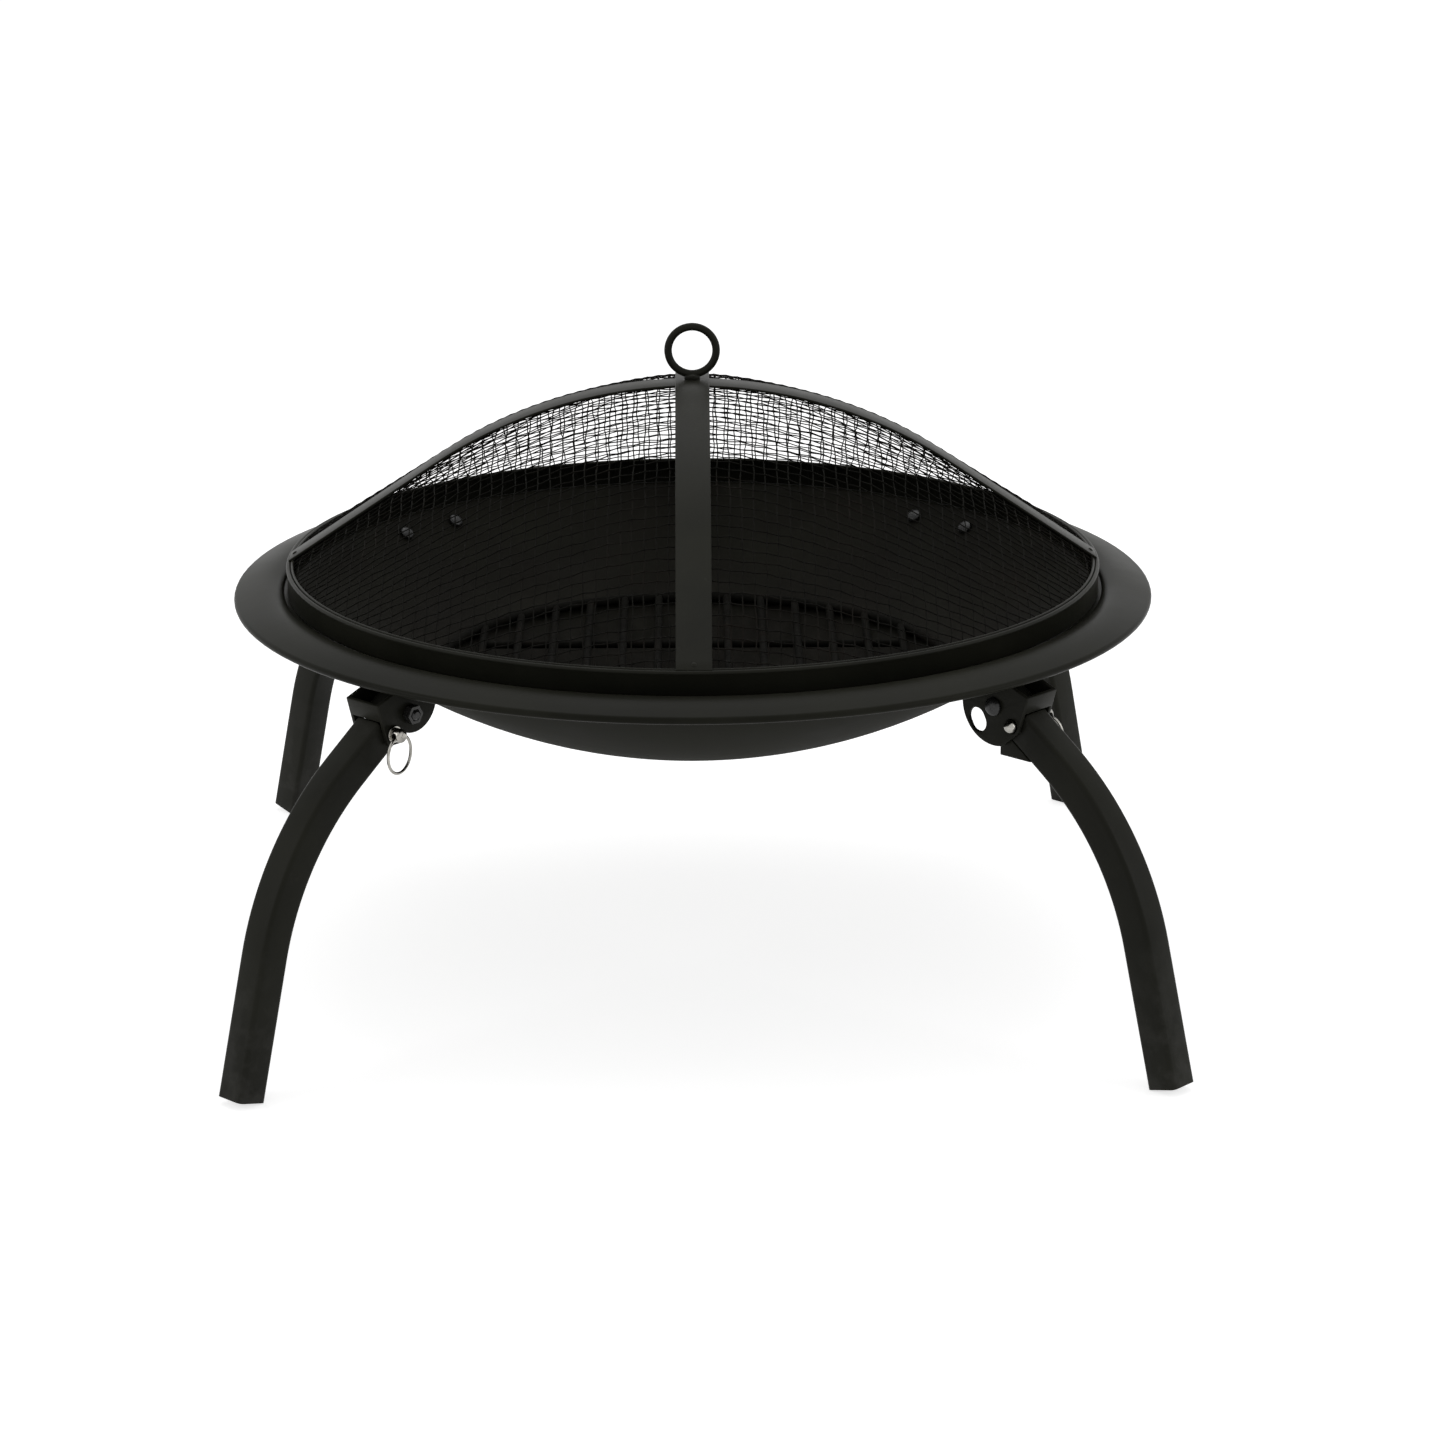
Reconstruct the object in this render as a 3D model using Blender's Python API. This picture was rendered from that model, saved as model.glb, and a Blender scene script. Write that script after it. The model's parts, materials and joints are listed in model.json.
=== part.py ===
"""Folding fire pit: a dished steel bowl on four fold-in legs, under a lift-off wire mesh lid.

Metres, +Z up. The origin is on the floor under the middle of the bowl.
Each leg corner is modelled in its own frame, +X out from the middle, +Y to its left, +Z up.
"""

import math

import bmesh
import bpy
from mathutils import Matrix, Vector

# Overall
RIM_DIAMETER = 0.560
GROUND_CLEARANCE = 0.134
GAP = 0.0003
RUNNING_CLEARANCE = 0.0003
SEGMENTS = 44
SMALL_SEGMENTS = 12

# Bowl
BOWL_SHEET = 0.0012
BOWL_DEPTH = 0.097
BOWL_STEPS = 7
LEDGE_WIDTH = 0.006
FLANGE_WIDTH = 0.0295
STEP_HEIGHT = 0.0040
STEP_FILLET = 0.0010
CREST_RADIUS = 0.0022
FLANGE_DROP = 0.0050
FLANGE_PLACES = (0.4, 0.75)
FLANGE_CURVE = 1.5
HEM_RADIUS = 0.0018
HEM_START = 72.0
HEM_END = -120.0

# Leg corners
CORNERS = ("front_left", "front_right", "rear_right", "rear_left")
FIRST_CORNER_ANGLE = -43.5
PIVOT_INSET = 0.029
PIVOT_DROP = 0.024

# Bracket
BRACKET_PLATE = 0.0025
BRACKET_SIDE_CLEARANCE = 0.0010
BRACKET_RADIUS = 0.0238
SHORT_PLATE_RADIUS = 0.0115
SHORT_PLATE_FALL = 1.6
PIN_LAND = 0.0068
BRACKET_LOW_ANGLE = 32.0
BRACKET_ARC_END = -75.0
BRACKET_OUT = 0.0245
BRACKET_TOP = 0.0095
BRACKET_EDGE_LEAN = 16.0
BRACKET_STEPS = 6
WEB_HEIGHT = 0.0110
EAR_REACH = 0.0165
EAR_INSET = 0.045
BRACKET_BOLT_SPACING = 0.0434

# Leg
TUBE = 0.020
TUBE_WALL = 0.0015
TUBE_CORNER = 0.0030
LEG_END = 0.011
LEG_SLOPE = 36.0
LEG_LEAN = 14.5
LEG_BEND_RADIUS = 0.170
LEG_BEND_STEPS = 5
FOOT_REACH = 0.1257
FOOT_PLUG_HEIGHT = 0.012
HEEL_OUT = 0.0024
HEEL_DROP = 0.0295
HEEL_THICKNESS = 0.0025
PIN_TRACK_ANGLE = 60.0

# Fasteners and pins
PIVOT_BOLT = 0.006
PIVOT_HEAD = 0.011
PIVOT_HEAD_HEIGHT = 0.0032
PIVOT_NUT = 0.010
PIVOT_NUT_HEIGHT = 0.0048
BOLT = 0.005
BOLT_HEAD = 0.0095
BOLT_HEAD_HEIGHT = 0.0026
BOLT_NUT = 0.008
BOLT_NUT_HEIGHT = 0.0040
THREAD_END = 0.0012
LOCK_PIN = 0.008
LOCK_PIN_OFFSET = 0.016
LOCK_PIN_TIP = 0.0045
LOCK_PIN_SHOULDER = 0.0100
LOCK_PIN_SHOULDER_HEIGHT = 0.0012
LOCK_PIN_HEAD = 0.0060
SLOT_WIDTH = 0.0115
SLOT_LENGTH = 0.0165
SLOT_TILT = -62.0
SLOT_TURN = 103.5
RING_RADIUS = 0.0112
RING_WIRE = 0.0018
RING_HOLE = 0.0040
RING_STEPS = 20
RING_WIRE_SIDES = 6
RING_HOLE_SIDES = 8

# Grate
GRATE_RADIUS = 0.160
GRATE_RIM_WIRE = 0.006
GRATE_WIRE = 0.005
GRATE_SPACING = 0.022
GRATE_CROSS_PLACE = 0.060
GRATE_CROSS_DROP = 0.0030
GRATE_SIDES = 6

# Lid
LID_PLAY = 0.0025
HOOP_SHEET = 0.0015
HOOP_HEIGHT = 0.0135
HOOP_BEAD_RADIUS = 0.0025
MESH_THICKNESS = 0.0010
MESH_SKIRT = 0.0120
MESH_RISE = 0.0022
CROWN_RADIUS = 0.278
CROWN_SPREAD = 0.155
CROWN_STEPS = 5
STRAP_WIDTH = 0.0205
STRAP_THICKNESS = 0.0015
STRAP_STEPS = 22
HANDLE_RING_DIAMETER = 0.033
HANDLE_WIRE = 0.0042
HANDLE_COLLAR = 0.0095
HANDLE_COLLAR_HEIGHT = 0.0032
HANDLE_STUD = 0.006
HANDLE_NUT = 0.010
HANDLE_NUT_HEIGHT = 0.005
HANDLE_STEPS = 24
HANDLE_WIRE_SIDES = 8
COLLAR_SEGMENTS = 16

# Bowl, worked out
RIM_RADIUS = RIM_DIAMETER / 2
STEP_RADIUS = RIM_RADIUS - FLANGE_WIDTH
MOUTH_RADIUS = STEP_RADIUS - LEDGE_WIDTH
BOWL_RADIUS = (MOUTH_RADIUS**2 + BOWL_DEPTH**2) / (2 * BOWL_DEPTH)
BOWL_CENTRE = GROUND_CLEARANCE + BOWL_RADIUS
MIDDLE_RADIUS = BOWL_RADIUS - BOWL_SHEET / 2
LEDGE_MIDDLE = GROUND_CLEARANCE + BOWL_DEPTH + BOWL_SHEET / 2
MOUTH_ANGLE = math.degrees(math.acos((BOWL_CENTRE - LEDGE_MIDDLE) / MIDDLE_RADIUS))
BOWL_INSIDE = (BOWL_RADIUS - BOWL_SHEET) * math.cos(math.radians(MOUTH_ANGLE / BOWL_STEPS / 2))
MOUTH_HEIGHT = GROUND_CLEARANCE + BOWL_DEPTH
LEDGE_TOP = MOUTH_HEIGHT + BOWL_SHEET

# Leg corner, worked out
PIVOT = Vector((RIM_RADIUS - PIVOT_INSET, 0, MOUTH_HEIGHT - PIVOT_DROP))
FOOT_RADIUS = PIVOT.x + FOOT_REACH
HALF_TUBE = TUBE / 2
CHANNEL = HALF_TUBE + BRACKET_SIDE_CLEARANCE
BRACKET_HALF_WIDTH = CHANNEL + BRACKET_PLATE
EAR_RADIUS = RIM_RADIUS - EAR_INSET
EAR_ANGLE = math.asin(EAR_RADIUS / BOWL_RADIUS)
EAR_DOWN = Vector((math.sin(EAR_ANGLE), 0, -math.cos(EAR_ANGLE)))
EAR_ALONG = Vector((math.cos(EAR_ANGLE), 0, math.sin(EAR_ANGLE)))
EAR_TOUCH = Vector((0, 0, BOWL_CENTRE)) + EAR_DOWN * BOWL_RADIUS
EAR_TOP = EAR_TOUCH + EAR_DOWN * GAP
TUBE_ALONG = Vector((math.cos(math.radians(LEG_SLOPE)), 0, -math.sin(math.radians(LEG_SLOPE))))
TUBE_UP = Vector((-TUBE_ALONG.z, 0, TUBE_ALONG.x))
LOCK_POINT = PIVOT + TUBE_ALONG * LOCK_PIN_OFFSET
RING_AXIS_OUT = BRACKET_HALF_WIDTH + GAP + LOCK_PIN_SHOULDER_HEIGHT + LOCK_PIN_HEAD / 2

# Grate, worked out
GRATE_SEAT = BOWL_INSIDE - GAP - GRATE_RIM_WIRE / 2
GRATE_HEIGHT = BOWL_CENTRE - math.sqrt(GRATE_SEAT**2 - GRATE_RADIUS**2)

# Lid, worked out
HOOP_RADIUS = STEP_RADIUS - BOWL_SHEET / 2 - LID_PLAY - HOOP_SHEET / 2
HOOP_BOTTOM = LEDGE_TOP + GAP
HOOP_TOP = HOOP_BOTTOM + HOOP_HEIGHT
MESH_RADIUS = HOOP_RADIUS - HOOP_BEAD_RADIUS - GAP - MESH_THICKNESS / 2
MESH_EDGE = HOOP_TOP + MESH_RISE
STRAP_REACH = HOOP_RADIUS
LOW_STRAP_LIFT = MESH_THICKNESS / 2 + GAP + STRAP_THICKNESS / 2
HIGH_STRAP_LIFT = LOW_STRAP_LIFT + GAP + STRAP_THICKNESS


def clear_scene():
    """Remove what the startup file left behind."""
    for obj in list(bpy.data.objects):
        bpy.data.objects.remove(obj, do_unlink=True)


def make_material(name, colour, roughness, metallic):
    material = bpy.data.materials.new(name)
    material.use_nodes = True
    shader = material.node_tree.nodes["Principled BSDF"]
    shader.inputs["Base Color"].default_value = (*colour, 1.0)
    shader.inputs["Roughness"].default_value = roughness
    shader.inputs["Metallic"].default_value = metallic
    return material


def arc(centre_x, centre_z, radius, start, end, steps):
    """Points of an arc in a profile's plane, from one angle to another in degrees."""
    points = []
    for i in range(steps + 1):
        angle = math.radians(start + (end - start) * i / steps)
        points.append((centre_x + radius * math.cos(angle), centre_z + radius * math.sin(angle)))
    return points


def mesh_from(bm, name, smooth_angle=35.0):
    """Turn an edited mesh into mesh data, shaded smooth except over sharp edges."""
    bmesh.ops.remove_doubles(bm, verts=bm.verts, dist=1e-6)
    bmesh.ops.recalc_face_normals(bm, faces=bm.faces)
    mesh = bpy.data.meshes.new(name)
    bm.to_mesh(mesh)
    bm.free()
    mesh.shade_smooth()
    mesh.set_sharp_from_angle(angle=math.radians(smooth_angle))
    return mesh


def add_object(name, mesh, material=None, parent=None, location=(0, 0, 0)):
    """Add an object in the scene, in its parent's frame, with its material."""
    obj = bpy.data.objects.new(name, mesh)
    bpy.context.scene.collection.objects.link(obj)
    obj.parent = parent
    obj.location = location
    if material is not None:
        if not mesh.materials:
            mesh.materials.append(material)
        obj.material_slots[0].link = "OBJECT"
        obj.material_slots[0].material = material
    return obj


def add_helper(name, mesh):
    """Add a cutter or a piece to be joined, which is not part of the model."""
    helper = add_object(name, mesh)
    helper.hide_render = True
    helper.display_type = "WIRE"
    return helper


def combine(obj, others, operation):
    """Put a Boolean modifier on an object for each of the others."""
    for other in others:
        modifier = obj.modifiers.new(other.name, "BOOLEAN")
        modifier.operation = operation
        modifier.solver = "EXACT"
        modifier.object = other


def finished_mesh(obj, helpers, name, smooth_angle=35.0):
    """Take the mesh with its modifiers applied, and remove the object and its helpers."""
    bpy.context.view_layer.update()
    graph = bpy.context.evaluated_depsgraph_get()
    mesh = bpy.data.meshes.new_from_object(obj.evaluated_get(graph))
    mesh.name = name
    mesh.shade_smooth()
    mesh.set_sharp_from_angle(angle=math.radians(smooth_angle))
    for used in [obj, *helpers]:
        bpy.data.objects.remove(used, do_unlink=True)
    return mesh


def spun(points, steps, closed=False):
    """Spin a profile of (radius, height) points about the vertical axis."""
    bm = bmesh.new()
    verts = [bm.verts.new((x, 0, z)) for x, z in points]
    edges = [bm.edges.new(pair) for pair in zip(verts, verts[1:])]
    if closed:
        edges.append(bm.edges.new((verts[-1], verts[0])))
    bmesh.ops.spin(
        bm,
        geom=verts + edges,
        cent=(0, 0, 0),
        axis=(0, 0, 1),
        angle=math.tau,
        steps=steps,
        use_merge=True,
    )
    bmesh.ops.remove_doubles(bm, verts=bm.verts, dist=1e-6)
    bmesh.ops.dissolve_degenerate(bm, edges=bm.edges, dist=1e-7)
    return bm


def prism(outline, low, high):
    """Extrude an outline of (x, z) points along Y between two places."""
    bm = bmesh.new()
    face = bm.faces.new([bm.verts.new((x, low, z)) for x, z in outline])
    grown = bmesh.ops.extrude_face_region(bm, geom=[face])
    moved = [item for item in grown["geom"] if isinstance(item, bmesh.types.BMVert)]
    bmesh.ops.translate(bm, verts=moved, vec=(0, high - low, 0))
    return bm


def turned_along(points, start, direction, steps=SMALL_SEGMENTS):
    """Spin a profile of (radius, distance) points about a line from a start point."""
    bm = spun(points, steps)
    turn = Vector((0, 0, 1)).rotation_difference(Vector(direction)).to_matrix().to_4x4()
    bmesh.ops.transform(bm, matrix=Matrix.Translation(start) @ turn, verts=bm.verts)
    return bm


def cylinder(diameter, start, direction, length, steps=SMALL_SEGMENTS):
    """A closed round bar from a start point."""
    radius = diameter / 2
    return turned_along([(0, 0), (radius, 0), (radius, length), (0, length)], start, direction, steps)


def hexagon(across, hole, start, direction, height):
    """A nut: a hexagonal ring, open in the middle for its bolt."""
    bm = bmesh.new()
    sides = 6
    rings = []
    for width, level in ((hole, 0), (across, 0), (across, height), (hole, height)):
        corner = width / 2 / math.cos(math.pi / sides)
        angles = [math.tau * i / sides for i in range(sides)]
        rings.append([bm.verts.new((corner * math.cos(a), corner * math.sin(a), level)) for a in angles])
    for i, ring in enumerate(rings):
        bridge(bm, ring, rings[(i + 1) % len(rings)])
    turn = Vector((0, 0, 1)).rotation_difference(Vector(direction)).to_matrix().to_4x4()
    bmesh.ops.transform(bm, matrix=Matrix.Translation(start) @ turn, verts=bm.verts)
    return bm


def torus(ring_radius, wire, steps, sides):
    """A wire ring standing in the XZ plane, about the origin."""
    bm = spun(arc(ring_radius, 0, wire / 2, 0, 360 - 360 / sides, sides - 1), steps, closed=True)
    bmesh.ops.rotate(bm, verts=bm.verts, matrix=Matrix.Rotation(math.pi / 2, 3, "X"))
    return bm


def join(first, second):
    """Copy the second edited mesh into the first."""
    spare = bpy.data.meshes.new("spare")
    second.to_mesh(spare)
    second.free()
    first.from_mesh(spare)
    bpy.data.meshes.remove(spare)
    return first


def corner_angle(index):
    """Turn of a leg corner's frame about the vertical axis, in radians."""
    return math.radians(FIRST_CORNER_ANGLE + 90 * index - 90)


def ear_bolt_point(side):
    """Place on the ears' upper plane where a bracket bolt passes, on one side of a corner."""
    return EAR_TOP + Vector((0, side * BRACKET_BOLT_SPACING / 2, 0))


def bowl_mesh():
    """The dished bowl with its ledge, flange and rolled edge, drilled for the bracket bolts."""
    path = arc(0, BOWL_CENTRE, MIDDLE_RADIUS, -90, -90 + MOUTH_ANGLE, BOWL_STEPS)
    path[0] = (0.0, path[0][1])
    path += arc(STEP_RADIUS - STEP_FILLET, LEDGE_MIDDLE + STEP_FILLET, STEP_FILLET, -90, 0, 1)
    crest = LEDGE_MIDDLE + STEP_HEIGHT
    path += arc(STEP_RADIUS + CREST_RADIUS, crest - CREST_RADIUS, CREST_RADIUS, 180, 90, 2)
    hem_centre = RIM_RADIUS - BOWL_SHEET / 2 - HEM_RADIUS
    flange_start = STEP_RADIUS + CREST_RADIUS
    for part in FLANGE_PLACES:
        radius = flange_start + (hem_centre - flange_start) * part
        path.append((radius, crest - FLANGE_DROP * part**FLANGE_CURVE))
    hem_height = crest - FLANGE_DROP - HEM_RADIUS
    path += arc(hem_centre, hem_height, HEM_RADIUS, HEM_START, HEM_END, 4)
    sheet = add_helper("bowl_sheet", mesh_from(spun(path, SEGMENTS), "bowl_sheet"))
    wall = sheet.modifiers.new("wall", "SOLIDIFY")
    wall.thickness = BOWL_SHEET
    wall.offset = 0
    wall.use_even_offset = True
    drills = bmesh.new()
    reach = 4 * BOWL_SHEET
    for index in range(len(CORNERS)):
        for side in (-1, 1):
            drill = cylinder(BOLT + 2 * GAP, ear_bolt_point(side) + EAR_DOWN * reach, -EAR_DOWN, 2 * reach)
            turn = Matrix.Rotation(corner_angle(index), 3, "Z")
            bmesh.ops.rotate(drill, verts=drill.verts, matrix=turn)
            join(drills, drill)
    cutter = add_helper("bowl_drills", mesh_from(drills, "bowl_drills"))
    combine(sheet, [cutter], "DIFFERENCE")
    return finished_mesh(sheet, [cutter], "fire_bowl")


def wire_between(start, end, wire, sides):
    """A straight wire with flat ends."""
    direction = Vector(end) - Vector(start)
    return cylinder(wire, Vector(start), direction.normalized(), direction.length, sides)


def grate_mesh():
    """Charcoal grate: a wire rim, bars from front to back and two cross wires under them."""
    profile = arc(GRATE_RADIUS, 0, GRATE_RIM_WIRE / 2, 0, 360 - 360 / GRATE_SIDES, GRATE_SIDES - 1)
    rim = add_helper("grate_rim", mesh_from(spun(profile, SEGMENTS, closed=True), "grate_rim", 70))
    pieces = []
    bar_end = GRATE_RADIUS - GRATE_WIRE / 4
    count = math.floor((bar_end - GRATE_RIM_WIRE) / GRATE_SPACING)
    for i in range(-count, count + 1):
        x = i * GRATE_SPACING
        reach = math.sqrt(bar_end**2 - x**2)
        bar = wire_between((x, -reach, 0), (x, reach, 0), GRATE_WIRE, GRATE_SIDES)
        pieces.append(add_helper(f"grate_bar_{i}", mesh_from(bar, "grate_bar")))
    last_bar = math.floor(math.sqrt(GRATE_RADIUS**2 - GRATE_CROSS_PLACE**2) / GRATE_SPACING)
    reach = last_bar * GRATE_SPACING + GRATE_WIRE / 2
    for y in (-GRATE_CROSS_PLACE, GRATE_CROSS_PLACE):
        start = (-reach, y, -GRATE_CROSS_DROP)
        cross = wire_between(start, (reach, y, -GRATE_CROSS_DROP), GRATE_WIRE, GRATE_SIDES)
        pieces.append(add_helper(f"grate_cross_{y}", mesh_from(cross, "grate_cross")))
    combine(rim, pieces, "UNION")
    return finished_mesh(rim, pieces, "charcoal_grate", 50)


def bracket_edges():
    """Edge of a bracket plate along its outer side and the bowl: (low, top, ridge, corner)."""
    lean = math.tan(math.radians(BRACKET_EDGE_LEAN))
    low = PIVOT.z - BRACKET_RADIUS * math.sin(math.radians(BRACKET_LOW_ANGLE))
    top = PIVOT.z + BRACKET_TOP
    outer = PIVOT.x + BRACKET_OUT
    ridge = MOUTH_HEIGHT - BRACKET_PLATE
    meet = EAR_TOP.x + (ridge - EAR_TOP.z) / math.tan(EAR_ANGLE)
    from_pivot = EAR_TOP - PIVOT
    along = from_pivot.dot(EAR_ALONG)
    away = from_pivot.dot(-EAR_DOWN)
    reach = -math.sqrt(BRACKET_RADIUS**2 - away**2) - along
    corner = EAR_TOP + EAR_ALONG * reach
    return (outer - (top - low) * lean, low), (outer, top), (meet, ridge), (corner.x, corner.z)


def corner_turn(corner):
    """Angle of the plate's corner as seen from the pivot."""
    return math.degrees(math.atan2(corner[1] - PIVOT.z, corner[0] - PIVOT.x)) % 360 - 360


def long_plate_outline():
    """Plate with the slot: round about the pivot below, straight along the bowl above."""
    edges = bracket_edges()
    start = corner_turn(edges[3])
    below = arc(PIVOT.x, PIVOT.z, BRACKET_RADIUS, start, BRACKET_ARC_END, BRACKET_STEPS)
    return [*edges[:3], *below]


def short_plate_outline():
    """Plate on the pull ring's side: it draws in under the pivot and drops round the pin."""
    low, top, ridge, corner = bracket_edges()
    lean = math.tan(math.radians(BRACKET_EDGE_LEAN))
    land = LOCK_POINT.z - PIN_LAND
    outline = [(low[0] - (low[1] - land) * lean, land), top, ridge, corner]
    start = corner_turn(corner)
    for i in range(1, BRACKET_STEPS + 1):
        part = i / BRACKET_STEPS
        angle = math.radians(start + (BRACKET_ARC_END - start) * part)
        shrink = (BRACKET_RADIUS - SHORT_PLATE_RADIUS) * (1 - part) ** SHORT_PLATE_FALL
        radius = SHORT_PLATE_RADIUS + shrink
        outline.append((PIVOT.x + radius * math.cos(angle), PIVOT.z + radius * math.sin(angle)))
    inner = LOCK_POINT.x - PIN_LAND
    return [*outline, (inner, outline[-1][1]), (inner, land + PIN_LAND / 4), (inner + PIN_LAND / 4, land)]


def slot_outline():
    """Wide slot that takes the lock pin when the leg is folded."""
    folded = math.radians(-LEG_SLOPE - SLOT_TURN)
    centre_x = PIVOT.x + LOCK_PIN_OFFSET * math.cos(folded)
    centre_z = PIVOT.z + LOCK_PIN_OFFSET * math.sin(folded)
    radius = SLOT_WIDTH / 2
    half = SLOT_LENGTH / 2 - radius
    tilt = math.radians(SLOT_TILT)
    shift_x = half * math.cos(tilt)
    shift_z = half * math.sin(tilt)
    lower = arc(centre_x + shift_x, centre_z + shift_z, radius, SLOT_TILT - 90, SLOT_TILT + 90, 4)
    upper = arc(centre_x - shift_x, centre_z - shift_z, radius, SLOT_TILT + 90, SLOT_TILT + 270, 4)
    return lower + upper


def bracket_mesh():
    """Bracket: two side plates, a web across their outer edge and two ears under the bowl."""
    outline = long_plate_outline()
    plate = add_helper("plate", mesh_from(prism(outline, -BRACKET_HALF_WIDTH, -CHANNEL), "plate"))
    other = mesh_from(prism(short_plate_outline(), CHANNEL, BRACKET_HALF_WIDTH), "other_plate")
    joined = [add_helper("other_plate", other)]
    (low_x, low_z), (top_x, top_z) = outline[0], outline[1]
    slant = Vector((top_x - low_x, 0, top_z - low_z)).normalized()
    across = Vector((slant.z, 0, -slant.x))
    top = Vector((top_x, 0, top_z)) + across * GAP
    web_points = [top, top - across * BRACKET_PLATE]
    web_points += [web_points[1] - slant * WEB_HEIGHT, top - slant * WEB_HEIGHT]
    web_half = BRACKET_HALF_WIDTH - GAP
    web = prism([(point.x, point.z) for point in web_points], -web_half, web_half)
    joined.append(add_helper("web", mesh_from(web, "web")))
    ridge = Vector((outline[2][0], 0, outline[2][1]))
    end = Vector((outline[3][0], 0, outline[3][1]))
    ear_points = [ridge, end, end + EAR_DOWN * BRACKET_PLATE, ridge + EAR_DOWN * BRACKET_PLATE]
    ear_outline = [(point.x, point.z) for point in ear_points]
    inner = CHANNEL + GAP
    for side in (-1, 1):
        edges = sorted((side * inner, side * (BRACKET_HALF_WIDTH + EAR_REACH)))
        joined.append(add_helper(f"ear_{side}", mesh_from(prism(ear_outline, *edges), "ear")))
    combine(plate, joined, "UNION")
    through = 2 * (BRACKET_HALF_WIDTH + BRACKET_PLATE)
    start = Vector((0, -through / 2, 0))
    pivot_drill = cylinder(PIVOT_BOLT + 2 * RUNNING_CLEARANCE, PIVOT + start, (0, 1, 0), through)
    cutters = [add_helper("pivot_drill", mesh_from(pivot_drill, "pivot_drill"))]
    lock_drill = cylinder(LOCK_PIN + 2 * RUNNING_CLEARANCE, LOCK_POINT + start, (0, 1, 0), through)
    cutters.append(add_helper("lock_drill", mesh_from(lock_drill, "lock_drill")))
    slot = prism(slot_outline(), -through / 2, 0)
    cutters.append(add_helper("slot", mesh_from(slot, "slot")))
    for side in (-1, 1):
        start = ear_bolt_point(side) - EAR_DOWN * BRACKET_PLATE
        drill = cylinder(BOLT + 2 * GAP, start, EAR_DOWN, 4 * BRACKET_PLATE)
        cutters.append(add_helper(f"ear_drill_{side}", mesh_from(drill, "ear_drill")))
    combine(plate, cutters, "DIFFERENCE")
    return finished_mesh(plate, joined + cutters, "leg_bracket")


def leg_path():
    """The leg's middle line, as (point, downward slope in degrees), and its line to the foot."""
    lean = math.radians(LEG_LEAN)
    foot = Vector((FOOT_RADIUS, 0, 0))
    lower = Vector((math.sin(lean), 0, -math.cos(lean)))
    gap = foot - PIVOT
    upper_length = (gap.x * lower.z - gap.z * lower.x) / (TUBE_ALONG.x * lower.z - TUBE_ALONG.z * lower.x)
    knee = PIVOT + TUBE_ALONG * upper_length
    turn = 90 - LEG_LEAN - LEG_SLOPE
    tangent = LEG_BEND_RADIUS * math.tan(math.radians(turn / 2))
    start = knee - TUBE_ALONG * tangent
    centre = start - TUBE_UP * LEG_BEND_RADIUS
    stations = [(PIVOT - TUBE_ALONG * LEG_END, LEG_SLOPE)]
    for i in range(LEG_BEND_STEPS + 1):
        slope = LEG_SLOPE + turn * i / LEG_BEND_STEPS
        up = Vector((math.sin(math.radians(slope)), 0, math.cos(math.radians(slope))))
        stations.append((centre + up * LEG_BEND_RADIUS, slope))
    end = foot - lower * HALF_TUBE * math.tan(lean)
    stations.append((end, 90 - LEG_LEAN))
    return stations, lower


def square_section(half, corner):
    """Square with rounded corners, as (up, side) pairs."""
    points = []
    inner = half - corner
    for quarter, (up, side) in enumerate(((1, 1), (-1, 1), (-1, -1), (1, -1))):
        points += arc(up * inner, side * inner, corner, 90 * quarter, 90 * quarter + 90, 2)
    return points


def section_loop(bm, section, point, slope):
    """One loop of vertices across the tube at a station."""
    up = Vector((math.sin(math.radians(slope)), 0, math.cos(math.radians(slope))))
    return [bm.verts.new(point + up * high + Vector((0, side, 0))) for high, side in section]


def bridge(bm, first, second):
    """Faces between two loops of as many vertices."""
    count = len(first)
    for i in range(count):
        j = (i + 1) % count
        bm.faces.new((first[i], first[j], second[j], second[i]))


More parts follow.
